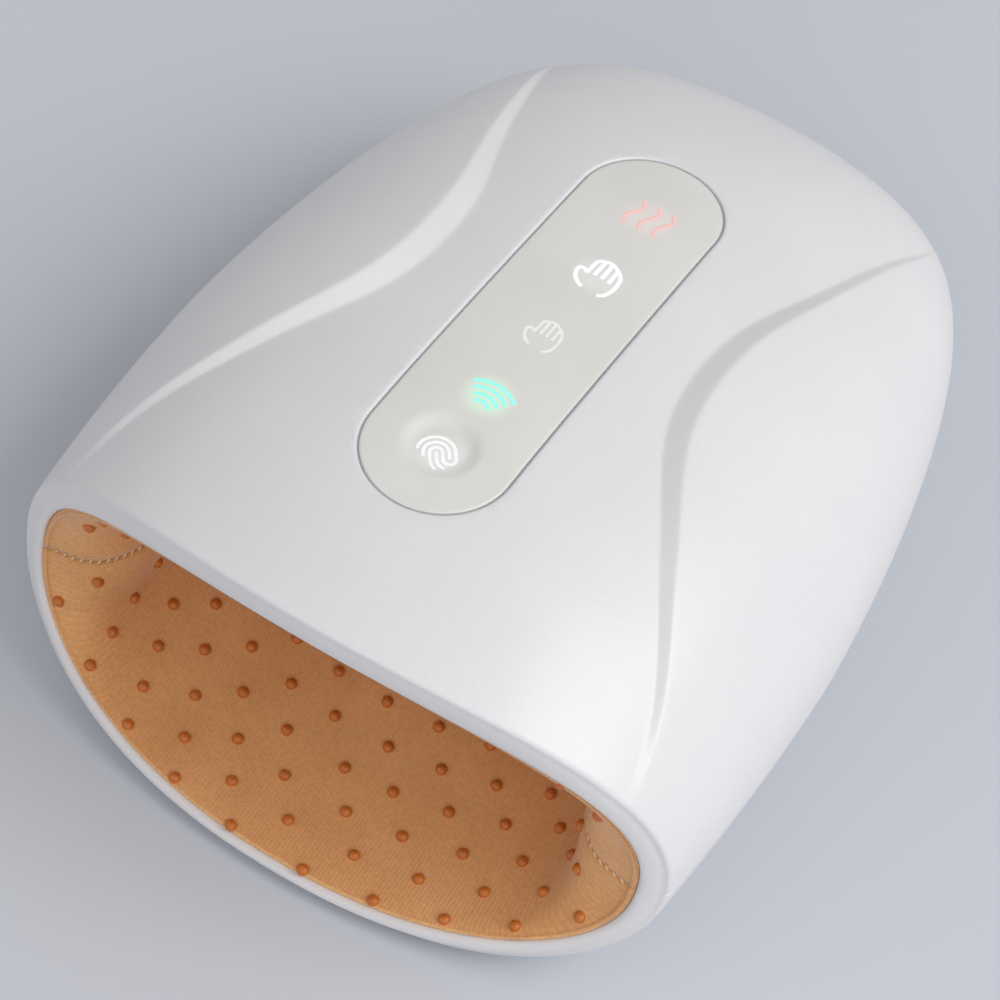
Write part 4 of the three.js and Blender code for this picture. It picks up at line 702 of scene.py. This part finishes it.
def nub_places(side, row):
    """Places of one row of nubs, as depth and angle. A row bows with the sleeve, and its pitch grows where
    the cloth is stretched towards the mouth."""
    pitch = nub_pitch[0] + nub_pitch[1] * math.exp(-row / nub_pitch[2])
    middle = nub_row_drift[0] + nub_row_drift[1] * row
    places = []
    for hand in (-1, 1):
        walked, last, steps = 0, None, 160
        wanted = [hand * (middle + (k + row % 2 / 2 + 0.5) * pitch) for k in range(-9, 9)]
        wanted = [r * (1 - nub_squeeze * min(abs(r) / nub_squeeze_reach, 1) ** 2) for r in wanted if r > 0]
        wanted.sort()
        x = 0
        for k in range(steps + 1):
            angle = hand * quarter * k / steps
            depth = nub_row_start + nub_row_pitch * row + nub_bow * x * x
            here = sleeve_point(side, depth, angle)
            x = here.x
            walked += (here - last).length if last else abs(x)
            last = here
            if wanted and walked >= wanted[0]:
                wanted.pop(0)
                front = rim_depth(here.x, here.z) + sleeve_setback + nub_edge
                clear_of_seam = quarter - abs(angle) > nub_seam_gap
                if front < depth < sleeve_depth - nub_tip_gap and clear_of_seam:
                    places.append((depth, angle))
    return places


def cloth_half(side, name):
    """One half of the sleeve, with its flat place kept for the ribs, and its area as cut."""
    lines = []
    for angle in sleeve_angles:
        front = sleeve_front(side, angle)
        depths = [front + (sleeve_depth - front) * ease(row / cloth_rows) for row in range(cloth_rows + 1)]
        lines.append([sleeve_point(side, depth, angle) for depth in depths])
    mesh = sheet_of(lines, [arc_across(side, angle) for angle in sleeve_angles])
    area = sum(f.calc_area() for f in mesh.faces)
    piece = piece_from(mesh, name)
    piece.data.materials.append(knit)
    solid = piece.modifiers.new("cloth", "SOLIDIFY")
    solid.thickness = cloth_thickness / 1000
    solid.offset = 1 if outward_is_out(piece) else -1
    return piece, area


def arc_across(side, angle, steps=24):
    """Length across the cloth from its middle to an angle."""
    points = [sleeve_point(side, girth_depth, angle * k / steps) for k in range(steps + 1)]
    length = sum((points[k + 1] - points[k]).length for k in range(steps))
    return math.copysign(length, angle)


def outward_is_out(piece):
    """Whether the faces of an open half look away from the sleeve's middle."""
    middle = Vector((0, 0, parting_height / 1000))
    return sum(p.area * p.normal.dot(p.center - middle) for p in piece.data.polygons) > 0


# Hem and seam threads: the front edge is folded into a soft roll, and both side seams are overlocked
# with a pale thread, one slanting stitch every 1.9 mm.
hem_radius = 0.62
hem_setback = 0.3
stitch_pitch = 1.9
stitch_length = 1.9
stitch_radius = 0.3
stitch_proud = 0.12
stitch_count = 24
stitch_start = 0.5
stitch_search = 0.1
stitch_lean = 0.6
tape = toned_material(
    "polyester_hem_roll", ((0.3, "#dc9f60"), (0.7, "#efc08a")), 0.0006,
    {"Roughness": 0.88, "Sheen Weight": 0.3, "IOR": 1.45}, relief=(0.4, 0.0002),
)
thread = toned_material(
    "polyester_thread_cream", ((0.3, "#dfb684"), (0.7, "#f0d3a8")), 0.0004,
    {"Roughness": 0.7, "Sheen Weight": 0.2, "IOR": 1.45},
)


def tube(lines, radius, roundness, closed=False):
    """Round tubes along lines of points, all in millimetres, as one mesh."""
    curve = bpy.data.curves.new("tube", "CURVE")
    curve.dimensions = "3D"
    curve.bevel_depth = radius
    curve.bevel_resolution = roundness
    curve.use_fill_caps = True
    for line in lines:
        spline = curve.splines.new("POLY")
        spline.points.add(len(line) - 1)
        for knot, point in zip(spline.points, line):
            knot.co = (*point, 1)
        spline.use_cyclic_u = closed
    made = bpy.data.objects.new("tube", curve)
    bpy.context.scene.collection.objects.link(made)
    data = baked(made)
    bpy.data.objects.remove(made)
    bpy.data.curves.remove(curve)
    mesh = bmesh.new()
    mesh.from_mesh(data)
    bpy.data.meshes.remove(data)
    return mesh


def bead(mesh, place, axis, radius, length, segments):
    """Adds a stretched ball at a place, with its half length along an axis."""
    made = bmesh.ops.create_uvsphere(mesh, u_segments=segments, v_segments=6, radius=1)
    size = Matrix.Diagonal((radius / 1000, radius / 1000, length / 1000, 1))
    turn = axis.to_track_quat("Z", "Y").to_matrix().to_4x4()
    bmesh.ops.transform(mesh, matrix=Matrix.Translation(metres(place)) @ turn @ size, verts=made["verts"])


def sleeve_hem():
    ring = []
    for side in (-1, 1):
        for angle in sleeve_angles:
            ring.append(mouth_point(side, -side * angle, -hem_radius) + hem_setback * forward)
    mesh = tube([ring], hem_radius, 2, closed=True)
    for vert in mesh.verts:
        vert.co = metres(vert.co)
    hem = piece_from(mesh, "sleeve_hem", 180)
    housed(hem, tape)
    return hem


def sleeve_stitches():
    mesh = bmesh.new()
    for hand in (-1, 1):
        reach, depth = stitch_pitch, sleeve_front(1, quarter) + stitch_start
        last = cloth_point(1, depth, hand * quarter, stitch_proud)
        placed = 0
        while placed < stitch_count:
            depth += stitch_search
            here = cloth_point(1, depth, hand * quarter, stitch_proud)
            reach += (here - last).length
            if reach >= stitch_pitch:
                run = (here - last).normalized()
                here.z = parting_height + stitch_proud
                bead(mesh, here, run * stitch_lean + upward, stitch_radius, stitch_length / 2, 8)
                reach = 0
                placed += 1
            last = here
    stitches = piece_from(mesh, "sleeve_stitches", 180)
    housed(stitches, thread)
    return stitches


for side, name, node in ((-1, "sleeve_lower", "liner_lower"), (1, "sleeve_upper", "liner_upper")):
    half, area = cloth_half(side, name)
    data = baked(half)
    half.modifiers.clear()
    half.data = data
    girth = arc_across(side, quarter) * 2
    housed(half, knit)
    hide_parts(node)

    mesh = bmesh.new()
    placed = []
    for row in nub_rows:
        for depth, angle in nub_places(side, row):
            here = cloth_point(side, depth, angle, -nub_root)
            if any((here - other).length < nub_least_gap for other in placed):
                continue
            placed.append(here)
            inwards = cloth_point(side, depth, angle, 1) - here
            bead(mesh, here, inwards, nub_radius, nub_height, 10)
    nubs = piece_from(mesh, name + "_nubs", 180)
    housed(nubs, nub_print)
    trims = [nubs]
    if side > 0:
        trims += [sleeve_hem(), sleeve_stitches()]

# Top cover: the crowned shell of the housing, moulded in the same pearl-white ABS. A sunk centre runs from
# the rim to the nose between two raised side lobes, and an S-shaped crease parts it from each. The panel
# drops into a ledged opening along the middle, on a ring of grey foam tape.
crown_rise = 57
crown_dip = 7.5
crown_depth = 50.468
crown_powers = (1.81, 2.43)
upper_powers = (2.16, 1.886)
crease_width = 6.4
crease_depth = 3.8
crease_end = 205
crease_path = (0.885, 0.787, 0.6, 0.437, 0.433, 0.553, 0.718, 0.985)
crease_growth = (0, 0.37, 0.69, 0.985, 1, 0.64, 0.35, 0)
crease_least_width = (0.8, 1.9)
crease_fade = (3, 27)
crease_round = 0.55
crease_most_round = 0.5
centre_columns = 22
lobe_columns = 26
crease_places = (-0.45, -0.3, -0.2, -0.12, -0.06, 0, 0.06, 0.12, 0.2, 0.33, 0.5)
crease_places += tuple(1 - place for place in crease_places[-2::-1])
panel_depth = 96.052
panel_length = 125.3
panel_width = 34.2
lens_thickness = 1.6
lens_sink = 0.35
ledge_top = 2.25
ledge_width = 2.6
ledge_thickness = 1.4
pocket_border = 3.3
opening_gap = 0.4
opening_edge = 0.75
gasket_drop = 0.65
gasket_play = 0.03
cut_spare = 4


def along(values, place):
    """Smooth curve through evenly spaced values."""
    place = min(max(place, 0), 1) * (len(values) - 1)
    start = min(int(place), len(values) - 2)
    share = place - start
    ends = (2 * values[0] - values[1], *values, 2 * values[-1] - values[-2])
    a, b, c, d = ends[start:start + 4]
    return b + share / 2 * (c - a + share * (2 * a - 5 * b + 4 * c - d + share * (3 * (b - c) + d - a)))


def rise_at(depth):
    if depth < crown_depth:
        return crown_rise - crown_dip * (1 - depth / crown_depth) ** 2
    return crown_rise * closing((depth - crown_depth) / (nose_depth - crown_depth), crown_powers)


def valley_at(depth):
    fade = ease((depth - crease_fade[0]) / (crease_fade[1] - crease_fade[0]))
    return crease_depth * fade * along(crease_growth, depth / crease_end)


def valley_height(x, depth):
    """Height of the sunk centre."""
    share = min(abs(x) / half_width_at(depth), 1)
    return parting_height + rise_at(depth) * closing(share, upper_powers) - valley_at(depth)


def crease_at(depth):
    """Middle and half width of a crease, as shares of the half width of the cover."""
    middle = along(crease_path, depth / crease_end)
    least = crease_least_width[0] + crease_least_width[1] * max(1 - depth / crease_end, 0) ** 2
    width = max(crease_width * along(crease_growth, depth / crease_end), least)
    return middle, min(width / (half_width_at(depth) + crease_width) / 2, 0.3 * (1 - middle))


def upper_surface(depth, angle):
    share = math.sin(abs(angle)) ** (2 / upper_powers[0])
    middle, half = crease_at(depth)
    place = (share - middle + half) / (2 * half)
    soft = min(crease_round / (2 * half * half_width_at(depth) + crease_round), crease_most_round)
    lifted = (math.hypot(place, soft) - math.hypot(place - 1, soft) + 1) / 2
    over = rise_at(depth) * max(math.cos(angle), 0) ** (2 / upper_powers[1]) - (1 - lifted) * valley_at(depth)
    x = math.copysign(half_width_at(depth) * share, angle)
    return Vector((x, depth, parting_height + max(over, parting_gap / 2)))


def upper_angle(depth, column):
    """Angle of a column of the top cover: even columns over the centre, close ones over the crease, even
    ones over the lobe, and close ones at the parting line."""
    side = math.copysign(1, column)
    reach = abs(column)
    middle, half = crease_at(depth)
    angle_of = lambda place: math.asin(min(middle + (2 * place - 1) * half, 1) ** (upper_powers[0] / 2))
    if reach <= centre_columns:
        return side * angle_of(crease_places[0]) * reach / centre_columns
    reach -= centre_columns
    if reach < len(crease_places):
        return side * angle_of(crease_places[int(reach)])
    reach -= len(crease_places) - 1
    start = angle_of(crease_places[-1])
    rise = rise_at(depth)
    if rise < parting_round * 6:
        return side * (start + (quarter - start) * reach / (lobe_columns + len(edge_heights) - 1))
    edges = edge_angles(rise, upper_powers[1])
    if reach <= lobe_columns:
        return side * (start + (edges[0] - start) * reach / lobe_columns)
    return side * edges[int(reach) - lobe_columns]


upper_columns = centre_columns + len(crease_places) - 1 + lobe_columns + len(edge_heights) - 1
crown = cover("crown", upper_surface, 1, upper_angle, upper_columns)


def pill(levels, columns=24, rows=96):
    """A slab with the panel's outline, following the sunk centre. Each level is a border round the outline
    and a distance below the centre's surface."""
    mesh = bmesh.new()
    bmesh.ops.create_grid(mesh, x_segments=columns, y_segments=rows, size=1)
    place = mesh.verts.layers.float_vector.new("place")
    for vert in mesh.verts:
        vert[place] = vert.co
    straight = (panel_length - panel_width) / 2
    end_share = quarter * panel_width / 2 / (quarter * panel_width / 2 + straight)
    cap = list(mesh.faces)
    for k, (border, drop) in enumerate(levels):
        if k:
            grown = bmesh.ops.extrude_face_region(mesh, geom=cap)["geom"]
            if k > 1:
                bmesh.ops.delete(mesh, geom=cap, context="FACES")
            cap = [g for g in grown if isinstance(g, bmesh.types.BMFace)]
        radius = panel_width / 2 + border
        for vert in {v for f in cap for v in f.verts}:
            across, run = vert[place].x, vert[place].y
            bend = quarter * max(abs(run) - 1 + end_share, 0) / end_share
            x = across * radius * math.cos(bend)
            reach = straight * min(abs(run) / (1 - end_share), 1) + radius * math.sin(bend)
            depth = panel_depth + math.copysign(reach, run)
            vert.co = metres(Vector((x, depth, valley_height(x, depth) - drop)))
    bmesh.ops.remove_doubles(mesh, verts=mesh.verts, dist=1e-6)
    return mesh


def rounding(radius, steps):
    """Steps inwards and down over a rounded edge."""
    bends = [quarter * k / steps for k in range(steps + 1)]
    return [(radius * (1 - math.sin(bend)), radius * (1 - math.cos(bend))) for bend in bends]


collar_levels = [(pocket_border, wall / 2), (pocket_border, ledge_top + ledge_thickness)]
carved(crown, piece_from(pill(collar_levels), "collar"), "UNION")
edge_levels = [(opening_gap + out, down) for out, down in rounding(opening_edge, 3)]
edge_levels = [(opening_gap + opening_edge, -cut_spare), *edge_levels, (opening_gap, ledge_top)]
carved(crown, piece_from(pill(edge_levels), "opening"))
carved(crown, piece_from(pill([(-ledge_width, 0), (-ledge_width, ledge_top + cut_spare)]), "light_opening"))
gasket_border = opening_gap - gasket_play
gasket = piece_from(
    pill([(gasket_border, gasket_drop), (gasket_border, ledge_top - gasket_play)]), "panel_gasket",
)
carved(gasket, piece_from(pill([(gasket_play, 0), (gasket_play, ledge_top + cut_spare)]), "lens_room"))
foam = toned_material("foam_tape_grey", ((0.3, "#a6a7ab"), (0.7, "#b4b5b9")), 0.0005, {"Roughness": 0.85})
housed(gasket, foam)
housed(crown, pearl)
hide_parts("top_cover")

# Panel lens: a pill-shaped window of tinted polycarbonate, moulded milky with a polished face, that drops
# into the ledge. A shallow touch dish is pressed into its front end. Lamps behind it light up the signs,
# and a faint glow shows round each.
dish_place = 51.2
dish_radius = 9.5
dish_floor = 5.2
dish_sink = 1.15
lens_edge = 0.4
lamp_places = ((1.0, 68.5), (1.1, 91.0), (1.6, 114.2), (1.9, 137.9))
touch_place = (1.5, 49.4)


def lens_height(x, depth):
    reach = math.hypot(x, depth - dish_place)
    dish = dish_sink * ease((dish_radius - reach) / (dish_radius - dish_floor))
    return valley_height(x, depth) - lens_sink - dish


edge_levels = [(-out, lens_sink + down) for out, down in rounding(lens_edge, 4)]
mesh = pill([*edge_levels, (0, lens_sink + lens_thickness)], columns=56, rows=180)
for vert in mesh.verts:
    x, depth = vert.co.x * 1000, vert.co.y * 1000 + crown_edge
    if vert.co.z * 1000 > valley_height(x, depth) - lens_sink - 0.01:
        vert.co.z = lens_height(x, depth) / 1000
window = piece_from(mesh, "panel_window")
glaze, tree, coords = new_material("polycarbonate_milky_polished")
cloud = add(tree, "TexNoise", {"Scale": 1 / 0.02, "Detail": 2.0}, {"Vector": coords})
speck = add(tree, "TexNoise", {"Scale": 1 / 0.0004, "Detail": 2.0}, {"Vector": coords})
tint = add(tree, "ValToRGB", {"stops": ((0.3, "#e2e0da"), (0.7, "#e7e5e0"))}, {"Fac": cloud.outputs["Fac"]})
gloss = add(tree, "MapRange", {"To Min": 0.3, "To Max": 0.38}, {"Value": speck.outputs["Fac"]})
glow_radii = (0.0075, 0.0075, 0.006, 0.0075, 0.008)
glow_colours = ("#555559", "#277c4b", "#1a1a1a", "#505055", "#452c21")
glow_core = 0.35
lit = None
for (x, depth), radius, glow in zip((touch_place, *lamp_places), glow_radii, glow_colours):
    middle = metres(Vector((x, depth, valley_height(x, depth))))
    away = add(tree, "VectorMath", {"operation": "DISTANCE", 1: tuple(middle)}, {0: coords})
    fade = add(
        tree, "MapRange", {
            "interpolation_type": "SMOOTHSTEP", "From Min": radius * glow_core, "From Max": radius,
            "To Min": 1.0, "To Max": 0.0,
        },
        {"Value": away.outputs["Value"]},
    )
    halo = {"data_type": "RGBA", 6: linear("#000000"), 7: linear(glow)}
    ring = add(tree, "Mix", halo, {0: fade.outputs["Result"]})
    if lit is not None:
        summed = {"data_type": "RGBA", "blend_type": "ADD", "Factor": 1.0}
        ring = add(tree, "Mix", summed, {6: lit, 7: ring.outputs[2]})
    lit = ring.outputs[2]
finished(
    tree, {"IOR": 1.58, "Emission Strength": 1.0, "Coat Weight": 0.12, "Coat Roughness": 0.15},
    {"Base Color": tint.outputs["Color"], "Roughness": gloss.outputs["Result"], "Emission Color": lit},
)
housed(window, glaze)
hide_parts("panel_lens")

# Signs: thin translucent ink printed under the lens and lit from behind by the lamps. From the nose to the
# dish they are heat, strong pressure, light pressure and signal, and a swirl marks the touch dish.
ink_proud = 0.07
ink_dimming = 0.92


def sign(name, strokes, place, colour, strength, width):
    """Strokes of a sign as flat ribbons on the lens. Points are in millimetres from the sign's middle, with
    up towards the nose."""
    mesh = tube([[(x, y, 0) for x, y in stroke] for stroke in strokes], width / 2, 1)
    for vert in mesh.verts:
        x, depth = vert.co.x + place[0], vert.co.y + place[1]
        vert.co = metres(Vector((x, depth, lens_height(x, depth) + vert.co.z * ink_proud)))
    ink, tree, coords = new_material(f"ink_lit_{name}")
    grain = add(tree, "TexNoise", {"Scale": 1 / 0.0012, "Detail": 2.0}, {"Vector": coords})
    full = [strength * part for part in linear(colour)[:3]]
    dim = [ink_dimming * part for part in full]
    stops = ((0.3, (*dim, 1)), (0.7, (*full, 1)))
    light = add(tree, "ValToRGB", {"stops": stops}, {"Fac": grain.outputs["Fac"]})
    finished(
        tree, {"Base Color": linear("#8c8c88"), "Roughness": 0.4, "IOR": 1.5, "Emission Strength": 1.0},
        {"Emission Color": light.outputs["Color"]},
    )
    housed(piece_from(mesh, name, 180), ink)


def arc_stroke(x, y, radius, start, end, steps=16):
    angles = [math.radians(start + (end - start) * k / steps) for k in range(steps + 1)]
    return [(x + radius * math.cos(a), y + radius * math.sin(a)) for a in angles]


def smooth_stroke(points, steps=24):
    xs, ys = zip(*points)
    return [(along(xs, k / steps), along(ys, k / steps)) for k in range(steps + 1)]


wave_heights = [k / 2 - 4.75 for k in range(20)]
waves = [[(x + 1.1 * math.sin(math.pi * y / 4.9), y) for y in wave_heights] for x in (-4.0, 0, 3.9)]
sign("sign_heat", waves, lamp_places[3], "#ffc0ba", 0.7, 1.15)
hand = [smooth_stroke(points) for points in (
    ((-2.5, -0.5), (-2.4, 2.0), (-2.3, 4.0)), ((-0.7, -0.1), (-0.65, 2.4), (-0.6, 4.8)),
    ((1.2, -0.1), (1.2, 2.6), (1.1, 5.2)), ((3.1, -0.4), (3.1, 2.0), (3.05, 4.1)),
    ((-2.3, 4.0), (-1.6, 4.7), (-0.2, 5.3), (1.1, 5.4), (2.5, 4.7), (3.9, 3.6), (4.8, 2.2)),
    ((4.8, 2.2), (5.1, -0.4), (4.8, -2.7), (4.1, -4.4), (2.9, -5.3)),
    ((-2.5, -0.5), (-3.3, 0.3), (-4.2, 0.4), (-4.8, -0.6), (-4.2, -2.6), (-3.0, -4.0), (-1.3, -5.0)),
)]
sign("sign_pressure_strong", hand, lamp_places[2], "#fbfbff", 0.85, 1.05)
small_hand = [[(0.8 * x, 0.85 * y) for x, y in stroke] for stroke in hand]
sign("sign_pressure_light", small_hand, lamp_places[1], "#f0f0f0", 0.71, 0.8)
fan = [
    arc_stroke(0, -4.5, radius, start, end)
    for radius, start, end in ((2.3, 22, 140), (4.2, 34, 132), (6.2, 42, 129), (8.2, 45, 127))
]
sign("sign_signal", fan, lamp_places[0], "#6cf0dc", 1.0, 1.0)


swirl_pitch = 1.4
swirl_run = 1.8
swirl_lean = Matrix.Rotation(math.radians(34.6), 2)


def swirl_stroke(runs):
    """Arcs and straight runs joined into one stroke, turned as the swirl lies on the dish."""
    points = [point for run in runs for point in run]
    return [tuple(swirl_lean @ Vector((u - swirl_pitch, v + swirl_run / 2))) for u, v in points]


low = 2 * swirl_pitch, -swirl_run
swirl = [
    swirl_stroke([
        arc_stroke(0, 0, 3 * swirl_pitch, 165, 0, 24), arc_stroke(*low, swirl_pitch, 0, -180, 12),
        arc_stroke(0, 0, swirl_pitch, 0, 180, 12), arc_stroke(*low, 3 * swirl_pitch, 180, 222, 8),
    ]),
    swirl_stroke([arc_stroke(0, 0, 2 * swirl_pitch, 200, 0, 20), [(2 * swirl_pitch, -swirl_run)]]),
    swirl_stroke([[(0, 0.2)], arc_stroke(*low, 2 * swirl_pitch, 180, 245, 12)]),
]
sign("sign_touch", swirl, touch_place, "#f6f6fa", 0.82, 0.8)

# Stage: a plain pale floor, and soft studio light from a large box high on the right, two weaker ones on
# the left and in front, and an even pale room.
mesh = bmesh.new()
bmesh.ops.create_grid(mesh, x_segments=1, y_segments=1, size=3)
floor = piece_from(mesh, "floor")
paper = toned_material("paper_backdrop_pale", ((0.3, "#c9cdd4"), (0.7, "#ced2d9")), 0.4, {"Roughness": 0.9})
floor.data.materials.append(paper)


def lamp(name, place, size, power):
    """A soft box at a place, facing the object."""
    light = bpy.data.lights.new(name, "AREA")
    light.shape = "SQUARE"
    light.size = size
    light.energy = power
    made = bpy.data.objects.new(name, light)
    made.location = place
    aim = Vector(place) - Vector((0, 0, 0.04))
    made.rotation_euler = aim.to_track_quat("Z", "Y").to_euler()
    bpy.context.scene.collection.objects.link(made)


lamp("key_box", (1.5, 0.3, 1.5), 1.4, 24.5)
lamp("fill_box", (-1.2, -1.6, 1.5), 1.8, 5)
lamp("front_box", (1.1, -1.4, 1.05), 1.2, 5.2)
room = bpy.data.worlds.new("room")
bpy.context.scene.world = room
room.use_nodes = True
background = room.node_tree.nodes["Background"].inputs
background["Color"].default_value = linear("#e6e6e8")
background["Strength"].default_value = 0.575
